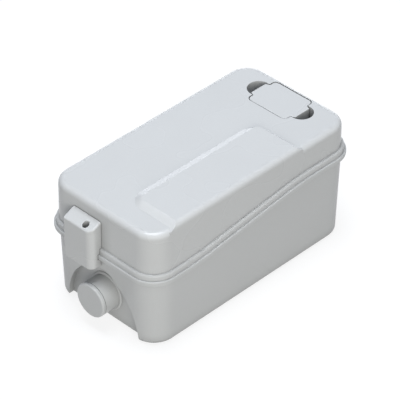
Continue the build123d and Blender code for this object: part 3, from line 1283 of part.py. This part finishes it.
def valve_axis():
    """Where the valve flap's pin runs: its x and z"""
    return VALVE_START + VALVE_END_WALL + PIN_RADIUS + FLAP_EYE, DISCHARGE_LEVEL + VALVE_FLAP_PIVOT


def nonreturn_valve_body():
    """Chamber with room above the bore for the flap to swing up"""
    end = VALVE_START + VALVE_LENGTH
    top = DISCHARGE_LEVEL + VALVE_HEADROOM
    y, wide = OUTLET_OFFSET, VALVE_BORE + VALVE_WALL
    first, last = VALVE_START + VALVE_END_WALL, end - VALVE_END_WALL
    body = along_x(rod(wide, -end, -VALVE_START), 0, y, DISCHARGE_LEVEL)
    body = body + block((VALVE_START, end), (y - wide, y + wide), (DISCHARGE_LEVEL, top))
    body = fillet(body.edges().filter_by(Axis.Z), VALVE_WALL / 2)
    body = body - along_x(rod(VALVE_BORE, -last, -first), 0, y, DISCHARGE_LEVEL)
    body = body - block((first, last), (y - VALVE_BORE, y + VALVE_BORE), (DISCHARGE_LEVEL, top))
    body = body - along_x(rod(OUTLET_RADIUS, -end, -VALVE_START), 0, y, DISCHARGE_LEVEL)
    for low in (VALVE_START, end - SOCKET_DEPTH):
        socket = rod(OUTLET_RADIUS + RISER_WALL, -(low + SOCKET_DEPTH), -low)
        body = body - along_x(socket, 0, y, DISCHARGE_LEVEL)
    for i, j in valve_screw_places():
        body = body - Pos(i, j, 0) * rod(SCREW_RADIUS, top - SCREW_GRIP / 2, top)
    x, z = valve_axis()
    groove = Cylinder(PIN_RADIUS + PIN_CLEARANCE, 2 * VALVE_BORE + VALVE_WALL)
    return body - Pos(x, y, z) * Rot(90, 0, 0) * groove


def valve_screw_places():
    ends = (VALVE_START + VALVE_END_WALL / 2, VALVE_START + VALVE_LENGTH - VALVE_END_WALL / 2)
    half = VALVE_SCREW_SPACING / 2
    return [(x, OUTLET_OFFSET + side) for x in ends for side in (-half, half)]


def valve_cover():
    end = VALVE_START + VALVE_LENGTH
    low = DISCHARGE_LEVEL + VALVE_HEADROOM
    wide = VALVE_BORE + VALVE_WALL
    y = OUTLET_OFFSET
    plate = block((VALVE_START, end), (y - wide, y + wide), (low, low + VALVE_COVER))
    plate = fillet(plate.edges().filter_by(Axis.Z), VALVE_WALL / 2)
    for i, j in valve_screw_places():
        plate = plate - Pos(i, j, 0) * rod(SCREW_RADIUS + SCREW_CLEARANCE, low, low + VALVE_COVER)
    return plate


def valve_screws():
    seat = DISCHARGE_LEVEL + VALVE_HEADROOM + VALVE_COVER
    grip = VALVE_COVER + SCREW_GRIP / 2 - SCREW_TIP_GAP
    return [screw(x, y, seat, grip) for x, y in valve_screw_places()]


def nonreturn_flap():
    """Disc that closes the valve's seat, hung on its pin"""
    x, z = valve_axis()
    y = OUTLET_OFFSET
    face = VALVE_START + VALVE_END_WALL + FLAP_GAP
    disc = along_x(rod(VALVE_FLAP_RADIUS, -face - FLAP_THICKNESS, -face), 0, y, DISCHARGE_LEVEL)
    arm = block((face, face + FLAP_THICKNESS), (y - VALVE_ARM / 2, y + VALVE_ARM / 2),
                (DISCHARGE_LEVEL, z))
    eye = Pos(x, y, z) * Rot(90, 0, 0) * Cylinder(PIN_RADIUS + FLAP_EYE - FLAP_GAP, VALVE_ARM)
    pin_length = 2 * VALVE_BORE + VALVE_WALL - 2 * FLAP_GAP
    pin = Pos(x, y, z) * Rot(90, 0, 0) * Cylinder(PIN_RADIUS, pin_length)
    return disc + arm + eye + pin


def spigot_faces():
    """X of the flat pads inside and outside the rear wall"""
    at = wall_half_length(DISCHARGE_LEVEL)
    return at - WALL - BOSS_STANDOFF, at + BOSS_STANDOFF


def discharge_spigot():
    """Stepped hose tail, flanged inside the wall and pushed into the valve"""
    inside, outside = spigot_faces()
    start = VALVE_START + VALVE_LENGTH
    seat = inside - SEAL_THICKNESS
    tip = outside + SPIGOT_LENGTH
    step = tip - SPIGOT_STEP_LENGTH
    root = outside + SPIGOT_NUT
    slant = SPIGOT_RADIUS - SPIGOT_STEP_RADIUS
    socket = OUTLET_RADIUS + RISER_WALL
    line = Polyline((OUTLET_RADIUS, start - SOCKET_DEPTH), (socket, start - SOCKET_DEPTH), (socket, start),
                    (VALVE_BORE, start), (VALVE_BORE, seat - SPIGOT_FLANGE),
                    (SPIGOT_FLANGE_RADIUS, seat - SPIGOT_FLANGE), (SPIGOT_FLANGE_RADIUS, seat),
                    (SPIGOT_THREAD_RADIUS, seat), (SPIGOT_THREAD_RADIUS, root), (SPIGOT_RADIUS, root),
                    (SPIGOT_RADIUS, step), (SPIGOT_STEP_RADIUS, step + slant),
                    (SPIGOT_STEP_RADIUS, tip - slant), (SPIGOT_STEP_RADIUS - slant, tip),
                    (OUTLET_RADIUS, tip), close=True)
    tail = revolve(Plane.XZ * make_face(line.edges()), axis=Axis.Z)
    return Pos(0, OUTLET_OFFSET, DISCHARGE_LEVEL) * Rot(0, 90, 0) * tail


def spigot_seal():
    inside = spigot_faces()[0]
    ring = tube(SPIGOT_FLANGE_RADIUS, SPIGOT_THREAD_RADIUS, inside - SEAL_THICKNESS, inside)
    return Pos(0, OUTLET_OFFSET, DISCHARGE_LEVEL) * Rot(0, 90, 0) * ring


def spigot_nut():
    """Notched ring nut that draws the spigot's flange against the wall"""
    outside = spigot_faces()[1]
    nut = tube(SPIGOT_NUT_RADIUS, SPIGOT_THREAD_RADIUS, outside, outside + SPIGOT_NUT)
    notch = Box(2 * SPIGOT_NOTCH_DEPTH, SPIGOT_NOTCH_WIDTH, SPIGOT_NUT)
    notch = Pos(SPIGOT_NUT_RADIUS, 0, outside + SPIGOT_NUT / 2) * notch
    nut = nut - around(SPIGOT_NOTCHES, notch)
    return Pos(0, OUTLET_OFFSET, DISCHARGE_LEVEL) * Rot(0, 90, 0) * nut


PIECES = {
    "tank": tank,
    "lid": lid,
    "lid_gasket": lid_gasket,
    "lid_clamp_front": lambda: clamp(SEAM_FRONT, CLAMP_ABOVE_FRONT),
    "lid_clamp_rear": lambda: turned(clamp(SEAM_REAR, CLAMP_ABOVE_REAR)),
    "clamp_screws": clamp_screws,
    "filter_cap": filter_cap,
    "cap_seal": cap_seal,
    "filter_cartridge": filter_cartridge,
    "carbon_block": carbon_block,
    "inlet_cap_front": inlet_cap,
    "inlet_cap_rear": lambda: turned(inlet_cap()),
    "inlet_cap_ring_front": inlet_cap_ring,
    "inlet_cap_ring_rear": lambda: turned(inlet_cap_ring()),
    "inlet_flap_front": inlet_flap,
    "inlet_flap_rear": lambda: turned(inlet_flap()),
    "equipment_deck": equipment_deck,
    "deck_screws": deck_screws,
    "pump_volute": pump_volute,
    "suction_strainer": suction_strainer,
    "seal_housing": seal_housing,
    "pump_screws": pump_screws,
    "shaft_seal": shaft_seal,
    "lower_bearing": lambda: bearing(lower_bearing_level()),
    "upper_bearing": lambda: bearing(upper_bearing_level()),
    "motor_housing": motor_housing,
    "motor_end_cap": motor_end_cap,
    "motor_screws": motor_screws,
    "motor_stator": motor_stator,
    "stator_windings": stator_windings,
    "motor_rotor": motor_rotor,
    "motor_shaft": motor_shaft,
    "impeller": impeller,
    "impeller_nut": impeller_nut,
    "run_capacitor": run_capacitor,
    "control_box": control_box,
    "control_box_cover": control_box_cover,
    "control_board": control_board,
    "relay": relay,
    "terminal_block": terminal_block,
    "cable_gland": cable_gland,
    "gland_insert": gland_insert,
    "gland_nut": gland_nut,
    "gland_locknut": gland_locknut,
    "level_bell": level_bell,
    "level_switch_base": level_switch_base,
    "level_switch_cover": level_switch_cover,
    "switch_diaphragm": switch_diaphragm,
    "switch_plunger": switch_plunger,
    "microswitch": microswitch,
    "discharge_riser": discharge_riser,
    "nonreturn_valve_body": nonreturn_valve_body,
    "valve_cover": valve_cover,
    "valve_screws": valve_screws,
    "nonreturn_flap": nonreturn_flap,
    "discharge_spigot": discharge_spigot,
    "spigot_seal": spigot_seal,
    "spigot_nut": spigot_nut,
}

if __name__ == "__main__":
    os.makedirs("parts", exist_ok=True)
    for name, make in PIECES.items():
        piece = make()
        if isinstance(piece, list):
            piece = Compound(children=piece)
        export_step(piece, f"parts/{name}.step")
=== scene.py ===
import math
import bpy
from mathutils import Matrix, Vector

# Compact lifting unit for the waste water of a shower and basin: a grey moulded tank and lid,
# held by two clamps, with the pump, its motor and its controls inside.
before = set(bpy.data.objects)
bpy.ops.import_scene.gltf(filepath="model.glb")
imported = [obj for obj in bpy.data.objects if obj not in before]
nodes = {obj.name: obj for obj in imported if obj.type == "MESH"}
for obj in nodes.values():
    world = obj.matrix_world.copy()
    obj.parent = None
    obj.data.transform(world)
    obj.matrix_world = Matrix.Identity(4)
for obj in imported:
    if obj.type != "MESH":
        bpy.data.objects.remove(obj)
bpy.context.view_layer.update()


# The studio is a plain white floor and surround, with a soft box overhead, a wide fill from the
# camera's side and a dim strip low down on the far side. Lengths are in metres, apart from the
# width of the camera's sensor, which is in millimetres.
def add(tree, kind, sockets=None, **settings):
    """Adds one node. A socket's value is a constant, or another node's output to link to it."""
    node = tree.nodes.new(kind)
    for name, value in settings.items():
        setattr(node, name, value)
    for name, value in (sockets or {}).items():
        if isinstance(value, bpy.types.NodeSocket):
            tree.links.new(value, node.inputs[name])
        else:
            node.inputs[name].default_value = value
    return node


def linear(code):
    """Linear red, green, blue and alpha of an sRGB hex colour."""
    values = [int(code[i:i + 2], 16) / 255 for i in (1, 3, 5)]
    return tuple(v / 12.92 if v <= 0.04045 else ((v + 0.055) / 1.055) ** 2.4 for v in values) + (1.0,)


def seen_share(tree):
    """One for rays of the camera, of reflections and of transmission, and nothing for light."""
    rays = add(tree, "ShaderNodeLightPath")
    direct = add(tree, "ShaderNodeMath", {0: rays.outputs["Is Camera Ray"],
                                          1: rays.outputs["Is Glossy Ray"]}, operation="MAXIMUM")
    seen = add(tree, "ShaderNodeMath", {0: direct.outputs[0],
                                        1: rays.outputs["Is Transmission Ray"]}, operation="MAXIMUM")
    return seen.outputs[0]


# The camera and the reflections see the surround as white, and it lights the object only a little.
surround = bpy.data.worlds.new("white_surround")
surround.use_nodes = True
sky = surround.node_tree
sky.nodes.clear()
dim = add(sky, "ShaderNodeBackground", {"Color": linear("#E8F0FF"), "Strength": 0.20})
white = add(sky, "ShaderNodeBackground", {"Color": (1, 1, 1, 1), "Strength": 1.0})
both = add(sky, "ShaderNodeMixShader", {0: seen_share(sky), 1: dim.outputs[0], 2: white.outputs[0]})
add(sky, "ShaderNodeOutputWorld", {"Surface": both.outputs[0]})
bpy.context.scene.world = surround

# The floor is seen as white too, but keeps the object's shadow. It is clear from below, and lies
# a fifth of a millimetre under the base, so that the two don't share a plane.
FLOOR_HALF, FLOOR_LEVEL = 6.0, -0.0002
FLOOR_ALBEDO, FLOOR_LIFT = 0.25, 0.81
floor_mesh = bpy.data.meshes.new("studio_floor")
floor_mesh.from_pydata([(-FLOOR_HALF, -FLOOR_HALF, FLOOR_LEVEL), (FLOOR_HALF, -FLOOR_HALF, FLOOR_LEVEL),
                        (FLOOR_HALF, FLOOR_HALF, FLOOR_LEVEL), (-FLOOR_HALF, FLOOR_HALF, FLOOR_LEVEL)],
                       [], [(0, 1, 2, 3)])
studio_floor = bpy.data.objects.new("studio_floor", floor_mesh)
bpy.context.scene.collection.objects.link(studio_floor)
paper = bpy.data.materials.new("matt_white_paper")
paper.use_nodes = True
tree = paper.node_tree
tree.nodes.clear()
lift = add(tree, "ShaderNodeMath", {0: seen_share(tree), 1: FLOOR_LIFT}, operation="MULTIPLY")
diffuse = add(tree, "ShaderNodeBsdfDiffuse", {"Color": (FLOOR_ALBEDO, FLOOR_ALBEDO, FLOOR_ALBEDO, 1)})
glow = add(tree, "ShaderNodeEmission", {"Color": (1, 1, 1, 1), "Strength": lift.outputs[0]})
total = add(tree, "ShaderNodeAddShader", {0: diffuse.outputs[0], 1: glow.outputs[0]})
side = add(tree, "ShaderNodeNewGeometry")
clear = add(tree, "ShaderNodeBsdfTransparent")
sheet = add(tree, "ShaderNodeMixShader", {0: side.outputs["Backfacing"], 1: total.outputs[0],
                                          2: clear.outputs[0]})
add(tree, "ShaderNodeOutputMaterial", {"Surface": sheet.outputs[0]})
floor_mesh.materials.append(paper)

LAMP_AIM_HEIGHT = 0.08


def soft_box(name, azimuth, elevation, distance, width, height, radiance, colour):
    """A rectangular lamp that faces the object from a direction given in degrees."""
    lamp = bpy.data.lights.new(name, "AREA")
    lamp.shape = "RECTANGLE"
    lamp.size = width
    lamp.size_y = height
    lamp.energy = radiance * math.pi * width * height
    lamp.color = linear(colour)[:3]
    turn, rise = math.radians(azimuth), math.radians(elevation)
    away = Vector((math.cos(turn) * math.cos(rise), math.sin(turn) * math.cos(rise), math.sin(rise)))
    holder = bpy.data.objects.new(name, lamp)
    holder.location = Vector((0, 0, LAMP_AIM_HEIGHT)) + away * distance
    holder.rotation_euler = away.to_track_quat("Z", "Y").to_euler()
    bpy.context.scene.collection.objects.link(holder)
    return holder


# The fill stands for a polarised lamp, which gives no glare, so it is left out of reflections.
soft_box("overhead_box", azimuth=90, elevation=86, distance=1.5, width=0.9, height=0.9,
         radiance=7.4, colour="#F2F7FF")
fill = soft_box("camera_side_fill", azimuth=-130, elevation=17, distance=2.6, width=2.2, height=1.7,
                radiance=4.0, colour="#FFFEFA")
fill.visible_glossy = False
soft_box("far_low_strip", azimuth=38, elevation=8, distance=2.6, width=2.6, height=0.6,
         radiance=1.7, colour="#F4F8FF")

# The camera looks down on the near front corner through a long lens, from nearly three metres away.
# The focal length in pixels belongs to a picture 400 pixels wide.
CAMERA_TURN, CAMERA_RISE = math.radians(-45.23), math.radians(37.95)
CAMERA_DISTANCE = 2.740
AIM_RIGHT, AIM_UP, AIM_HEIGHT = -0.00205, 0.0027, 0.073
SENSOR_WIDTH, FOCAL_PIXELS, PICTURE_PIXELS = 36, 2588, 400
back = Vector((math.sin(CAMERA_TURN) * math.cos(CAMERA_RISE),
               -math.cos(CAMERA_TURN) * math.cos(CAMERA_RISE), math.sin(CAMERA_RISE)))
right = Vector((math.cos(CAMERA_TURN), math.sin(CAMERA_TURN), 0))
up = back.cross(right)
aim = Vector((0, 0, AIM_HEIGHT)) + right * AIM_RIGHT + up * AIM_UP
lens = bpy.data.cameras.new("studio_camera")
lens.sensor_width = SENSOR_WIDTH
lens.lens = SENSOR_WIDTH * FOCAL_PIXELS / PICTURE_PIXELS
camera = bpy.data.objects.new("studio_camera", lens)
turned = Matrix((right, up, back)).transposed().to_4x4()
camera.matrix_world = Matrix.Translation(aim + back * CAMERA_DISTANCE) @ turned
bpy.context.scene.collection.objects.link(camera)
bpy.context.scene.camera = camera
bpy.context.scene.view_settings.view_transform = "Standard"


# The tank is injection moulded in light grey ABS. The mould was spark eroded, which leaves a fine
# even grain, and the plastic's flow leaves slow changes of gloss. Its blanking caps are the same.
def new_finish(name):
    """A material of that name, its empty tree, and the coordinates of the object in metres."""
    material = bpy.data.materials.new(name)
    material.use_nodes = True
    tree = material.node_tree
    tree.nodes.clear()
    place = add(tree, "ShaderNodeTexCoord").outputs["Object"]
    return material, tree, place


def dress(material, *names):
    """Puts a finish on CAD nodes."""
    for name in names:
        mesh = nodes[name].data
        mesh.materials.clear()
        mesh.materials.append(material)


def moulded_abs(name, colour, pale, gloss):
    """Slow noise makes the flow marks, and fine noise the grain, three times its real 0.3 mm so
    that it shows. A point with little open air round it is darker: painted shade in creases, corners and
    gaps."""
    flow_width, grain_width, painted_shade_reach = 0.060, 0.0009, 0.015
    material, tree, place = new_finish(name)
    slow = add(tree, "ShaderNodeTexNoise", {"Vector": place, "Scale": 1 / flow_width, "Detail": 1.0})
    # A Mix node of colours has its factor on socket 0 and the colours on 6, 7 and output 2.
    tint = add(tree, "ShaderNodeMix", {0: slow.outputs[0], 6: linear(colour), 7: linear(pale)},
               data_type="RGBA")
    grain = add(tree, "ShaderNodeTexNoise", {"Vector": place, "Scale": 1 / grain_width, "Detail": 2.0})
    speck = add(tree, "ShaderNodeMapRange", {"Value": grain.outputs[0], "From Min": 0.25,
                                             "From Max": 0.75, "To Min": 0.975, "To Max": 1.015})
    # Painted shade: the colour is darkened where little open air is round a point, in creases, corners
    # and gaps between parts.
    open_air = add(tree, "ShaderNodeAmbientOcclusion", {"Distance": painted_shade_reach}, samples=6)
    painted_crease_shade = add(tree, "ShaderNodeMapRange", {"Value": open_air.outputs["AO"], "From Min": 0.2,
                                              "From Max": 0.95, "To Min": 0.57, "To Max": 1.0})
    shade = add(tree, "ShaderNodeMath", {0: speck.outputs[0], 1: painted_crease_shade.outputs[0]},
                operation="MULTIPLY")
    dotted = add(tree, "ShaderNodeVectorMath", {0: tint.outputs[2], 1: shade.outputs[0]},
                 operation="MULTIPLY")
    shine = add(tree, "ShaderNodeMapRange", {"Value": slow.outputs[0], "From Min": 0.3, "From Max": 0.7,
                                             "To Min": gloss - 0.015, "To Max": gloss + 0.02})
    dents = add(tree, "ShaderNodeBump", {"Height": grain.outputs[0], "Strength": 0.25,
                                         "Distance": 0.00006})
    shader = add(tree, "ShaderNodeBsdfPrincipled", {"Base Color": dotted.outputs[0], "IOR": 1.53,
                                                    "Roughness": shine.outputs[0],
                                                    "Normal": dents.outputs[0]})
    add(tree, "ShaderNodeOutputMaterial", {"Surface": shader.outputs[0]})
    return material


tank_abs = moulded_abs("tank_moulded_abs", "#C8C9C8", "#CCCDCC", gloss=0.34)
dress(tank_abs, "tank", "inlet_cap_front", "inlet_cap_rear")


# The flaps, rings and seals are EPDM rubber, moulded and pushed into their seats. They are near
# black and matt, with a dusty bloom.
def moulded_rubber():
    """Slow noise makes the patches of bloom, and fine noise the grain, coarse so that it shows."""
    bloom_width, grain_width = 0.012, 0.0008
    material, tree, place = new_finish("moulded_epdm_rubber")
    bloom = add(tree, "ShaderNodeTexNoise", {"Vector": place, "Scale": 1 / bloom_width, "Detail": 4.0})
    tint = add(tree, "ShaderNodeMix", {0: bloom.outputs[0], 6: linear("#1B1B1C"), 7: linear("#34353A")},
               data_type="RGBA")
    grain = add(tree, "ShaderNodeTexNoise", {"Vector": place, "Scale": 1 / grain_width, "Detail": 2.0})
    shine = add(tree, "ShaderNodeMapRange", {"Value": bloom.outputs[0], "To Min": 0.62, "To Max": 0.85})
    dents = add(tree, "ShaderNodeBump", {"Height": grain.outputs[0], "Strength": 0.35,
                                         "Distance": 0.0001})
    shader = add(tree, "ShaderNodeBsdfPrincipled", {"Base Color": tint.outputs[2], "IOR": 1.5,
                                                    "Roughness": shine.outputs[0],
                                                    "Normal": dents.outputs[0]})
    add(tree, "ShaderNodeOutputMaterial", {"Surface": shader.outputs[0]})
    return material


dress(moulded_rubber(), "inlet_flap_front", "inlet_flap_rear", "nonreturn_flap", "inlet_cap_ring_front",
      "inlet_cap_ring_rear", "lid_gasket", "cap_seal", "spigot_seal", "gland_insert", "shaft_seal",
      "switch_diaphragm")


# The pump's casing and impeller, the discharge line, the fittings, the filter's cartridge and the
# switch are moulded in black glass-filled nylon. Its fibres show as faint paler streaks that run
# with the flow, and its skin is half matt.
def filled_nylon(name, dark, streak):
    """Noise drawn out along X makes the streaks, coarse so that they show, and they dent the skin."""
    streak_length, streak_width = 0.006, 0.0008
    material, tree, place = new_finish(name)
    stretch = (1 / streak_length, 1 / streak_width, 1 / streak_width)
    along = add(tree, "ShaderNodeMapping", {"Vector": place, "Scale": stretch})
    fibre = add(tree, "ShaderNodeTexNoise", {"Vector": along.outputs[0], "Scale": 1.0, "Detail": 3.0})
    amount = add(tree, "ShaderNodeMapRange", {"Value": fibre.outputs[0], "From Min": 0.5,
                                              "From Max": 0.8})
    tint = add(tree, "ShaderNodeMix", {0: amount.outputs[0], 6: linear(dark), 7: linear(streak)},
               data_type="RGBA")
    shine = add(tree, "ShaderNodeMapRange", {"Value": fibre.outputs[0], "To Min": 0.38, "To Max": 0.6})
    dents = add(tree, "ShaderNodeBump", {"Height": fibre.outputs[0], "Strength": 0.2,
                                         "Distance": 0.0001})
    shader = add(tree, "ShaderNodeBsdfPrincipled", {"Base Color": tint.outputs[2], "IOR": 1.53,
                                                    "Roughness": shine.outputs[0],
                                                    "Normal": dents.outputs[0]})
    add(tree, "ShaderNodeOutputMaterial", {"Surface": shader.outputs[0]})
    return material


dress(filled_nylon("black_glass_filled_nylon", "#1D1E20", "#3A3C3F"), "pump_volute", "suction_strainer",
      "seal_housing", "impeller", "discharge_riser", "nonreturn_valve_body", "valve_cover",
      "discharge_spigot", "spigot_nut", "cable_gland", "gland_nut", "gland_locknut", "level_bell",
      "level_switch_base", "microswitch", "filter_cartridge", "relay")


# The deck, the control box, the switch's cover, the capacitor and the terminals are natural grey
# polypropylene: a little waxy, with slow flow marks.
def natural_polypropylene():
    """Slow noise makes the flow marks, and fine noise the grain, coarse so that it shows."""
    flow_width, grain_width = 0.030, 0.0012
    material, tree, place = new_finish("natural_polypropylene")
    flow = add(tree, "ShaderNodeTexNoise", {"Vector": place, "Scale": 1 / flow_width, "Detail": 3.0})
    tint = add(tree, "ShaderNodeMix", {0: flow.outputs[0], 6: linear("#B4B5B0"), 7: linear("#C4C5C0")},
               data_type="RGBA")
    grain = add(tree, "ShaderNodeTexNoise", {"Vector": place, "Scale": 1 / grain_width, "Detail": 2.0})
    shine = add(tree, "ShaderNodeMapRange", {"Value": flow.outputs[0], "To Min": 0.34, "To Max": 0.5})
    dents = add(tree, "ShaderNodeBump", {"Height": grain.outputs[0], "Strength": 0.2,
                                         "Distance": 0.00008})
    shader = add(tree, "ShaderNodeBsdfPrincipled", {"Base Color": tint.outputs[2], "IOR": 1.49,
                                                    "Roughness": shine.outputs[0],
                                                    "Normal": dents.outputs[0]})
    add(tree, "ShaderNodeOutputMaterial", {"Surface": shader.outputs[0]})
    return material


dress(natural_polypropylene(), "equipment_deck", "control_box", "control_box_cover",
      "level_switch_cover", "switch_plunger", "run_capacitor", "terminal_block")


# The motor's cup and end cap are die cast aluminium, left as cast: a grey skin with a sandy
# grain and cloudy patches.
def cast_aluminium():
    """Slow noise makes the cloudy patches, and fine noise the sandy grain, coarse so that it shows."""
    cloud_width, grain_width = 0.008, 0.0007
    material, tree, place = new_finish("die_cast_aluminium")
    cloud = add(tree, "ShaderNodeTexNoise", {"Vector": place, "Scale": 1 / cloud_width, "Detail": 4.0})
    tint = add(tree, "ShaderNodeMix", {0: cloud.outputs[0], 6: linear("#A6A9AC"), 7: linear("#C3C6C8")},
               data_type="RGBA")
    grain = add(tree, "ShaderNodeTexNoise", {"Vector": place, "Scale": 1 / grain_width, "Detail": 2.0})
    shine = add(tree, "ShaderNodeMapRange", {"Value": cloud.outputs[0], "To Min": 0.42, "To Max": 0.62})
    dents = add(tree, "ShaderNodeBump", {"Height": grain.outputs[0], "Strength": 0.5,
                                         "Distance": 0.0001})
    shader = add(tree, "ShaderNodeBsdfPrincipled", {"Base Color": tint.outputs[2], "Metallic": 1.0,
                                                    "Roughness": shine.outputs[0],
                                                    "Normal": dents.outputs[0]})
    add(tree, "ShaderNodeOutputMaterial", {"Surface": shader.outputs[0]})
    return material


dress(cast_aluminium(), "motor_housing", "motor_end_cap")


# The stator and the rotor are stacks of stamped steel sheet, pressed together. The sheets show as
# fine level lines, and heat left blued patches.
def steel_stack():
    """A wave along Z makes the lines, four times the real 0.5 mm sheet apart so that they show."""
    line_pitch, patch_width = 0.0019739, 0.010
    material, tree, place = new_finish("stamped_steel_sheets")
    # A Wave node repeats every pi / 10 of its scaled coordinate.
    lines = add(tree, "ShaderNodeTexWave", {"Vector": place, "Scale": math.pi / 10 / line_pitch,
                                            "Distortion": 0.0}, bands_direction="Z")
    patch = add(tree, "ShaderNodeTexNoise", {"Vector": place, "Scale": 1 / patch_width, "Detail": 3.0})
    tint = add(tree, "ShaderNodeMix", {0: patch.outputs[0], 6: linear("#6E7076"), 7: linear("#93959B")},
               data_type="RGBA")
    dents = add(tree, "ShaderNodeBump", {"Height": lines.outputs["Fac"], "Strength": 0.4,
                                         "Distance": 0.0001})
    shader = add(tree, "ShaderNodeBsdfPrincipled", {"Base Color": tint.outputs[2], "Metallic": 1.0,
                                                    "Roughness": 0.45, "Normal": dents.outputs[0]})
    add(tree, "ShaderNodeOutputMaterial", {"Surface": shader.outputs[0]})
    return material


dress(steel_stack(), "motor_stator", "motor_rotor")


# The windings are enamelled copper wire, laid round the core's teeth by a machine. Each turn is
# painted as its own bright line, a painted highlight, with painted shade between the turns.
def copper_wire():
    """A wave along Z makes the turns, a little uneven, and twice the real 0.9 mm so that they show."""
    turn_pitch = 0.0017765
    material, tree, place = new_finish("enamelled_copper_wire")
    turns = add(tree, "ShaderNodeTexWave", {"Vector": place, "Scale": math.pi / 10 / turn_pitch,
                                            "Distortion": 1.5, "Detail": 1.0, "Detail Scale": 60.0},
                bands_direction="Z")
    # The wave paints each turn pale copper along its middle and dark copper between turns: painted
    # highlight and painted shade.
    tint = add(tree, "ShaderNodeMix", {0: turns.outputs["Fac"], 6: linear("#7A3A1E"),
                                       7: linear("#C77844")}, data_type="RGBA")
    dents = add(tree, "ShaderNodeBump", {"Height": turns.outputs["Fac"], "Strength": 0.8,
                                         "Distance": 0.0003})
    shader = add(tree, "ShaderNodeBsdfPrincipled", {"Base Color": tint.outputs[2], "Metallic": 1.0,
                                                    "Roughness": 0.3, "Normal": dents.outputs[0]})
    add(tree, "ShaderNodeOutputMaterial", {"Surface": shader.outputs[0]})
    return material


dress(copper_wire(), "stator_windings")


# The shaft, the bearings, the nut and all screws are turned stainless steel: bright, with fine
# rings left by the tool.
def turned_steel():
    """A wave along Z makes the tool's rings, coarse so that they show, and noise the change of gloss."""
    ring_pitch, cloud_width = 0.0011843, 0.004
    material, tree, place = new_finish("turned_stainless_steel")
    rings = add(tree, "ShaderNodeTexWave", {"Vector": place, "Scale": math.pi / 10 / ring_pitch,
                                            "Distortion": 0.4}, bands_direction="Z")
    cloud = add(tree, "ShaderNodeTexNoise", {"Vector": place, "Scale": 1 / cloud_width, "Detail": 3.0})
    tint = add(tree, "ShaderNodeMix", {0: cloud.outputs[0], 6: linear("#BDBDB9"), 7: linear("#D6D6D2")},
               data_type="RGBA")
    shine = add(tree, "ShaderNodeMapRange", {"Value": cloud.outputs[0], "To Min": 0.2, "To Max": 0.34})
    dents = add(tree, "ShaderNodeBump", {"Height": rings.outputs["Fac"], "Strength": 0.2,
                                         "Distance": 0.00005})
    shader = add(tree, "ShaderNodeBsdfPrincipled", {"Base Color": tint.outputs[2], "Metallic": 1.0,
                                                    "Roughness": shine.outputs[0],
                                                    "Normal": dents.outputs[0]})
    add(tree, "ShaderNodeOutputMaterial", {"Surface": shader.outputs[0]})
    return material


dress(turned_steel(), "motor_shaft", "lower_bearing", "upper_bearing", "impeller_nut", "clamp_screws",
      "deck_screws", "pump_screws", "motor_screws", "valve_screws")


# The control board is glass-epoxy sheet under green lacquer. Its etched copper tracks show
# through the lacquer as paler lines.
def lacquered_board():
    """Tracks 2.5 mm apart one way and 1.25 mm the other, with darker lacquer between them."""
    track_cell = 0.005
    material, tree, place = new_finish("lacquered_circuit_board")
    grid = add(tree, "ShaderNodeTexBrick", {"Vector": place, "Color1": linear("#0F5A33"),
                                            "Color2": linear("#14693B"), "Mortar": linear("#2C8A4E"),
                                            "Scale": 1 / track_cell, "Mortar Size": 0.02})
    dents = add(tree, "ShaderNodeBump", {"Height": grid.outputs["Fac"], "Strength": 0.3,
                                         "Distance": 0.0001})
    shader = add(tree, "ShaderNodeBsdfPrincipled", {"Base Color": grid.outputs["Color"], "IOR": 1.5,
                                                    "Roughness": 0.28, "Normal": dents.outputs[0]})
    add(tree, "ShaderNodeOutputMaterial", {"Surface": shader.outputs[0]})
    return material


dress(lacquered_board(), "control_board")


# The filter's block is activated carbon, pressed from grains of one to two millimetres, and
# stands in the cartridge. Each grain is a slightly different black.
def pressed_carbon():
    """Voronoi cells make the grains, with deep gaps between them."""
    grain_width = 0.0016
    material, tree, place = new_finish("pressed_carbon_grains")
    grains = add(tree, "ShaderNodeTexVoronoi", {"Vector": place, "Scale": 1 / grain_width})
    hue = add(tree, "ShaderNodeSeparateColor", {0: grains.outputs["Color"]})
    tint = add(tree, "ShaderNodeMix", {0: hue.outputs[0], 6: linear("#111214"), 7: linear("#2E3033")},
               data_type="RGBA")
    dents = add(tree, "ShaderNodeBump", {"Height": grains.outputs["Distance"], "Strength": 0.9,
                                         "Distance": 0.0006}, invert=True)
    shader = add(tree, "ShaderNodeBsdfPrincipled", {"Base Color": tint.outputs[2], "Roughness": 0.8,
                                                    "Normal": dents.outputs[0]})
    add(tree, "ShaderNodeOutputMaterial", {"Surface": shader.outputs[0]})
    return material


dress(pressed_carbon(), "carbon_block")


# The lid, its clamps and the filter cap are moulded in the same grey ABS as the tank, a shade
# paler and a little glossier, because their mould was finished finer.
lid_abs = moulded_abs("lid_moulded_abs", "#CBCCCB", "#CFD0CF", gloss=0.27)
dress(lid_abs, "lid", "lid_clamp_front", "lid_clamp_rear", "filter_cap")
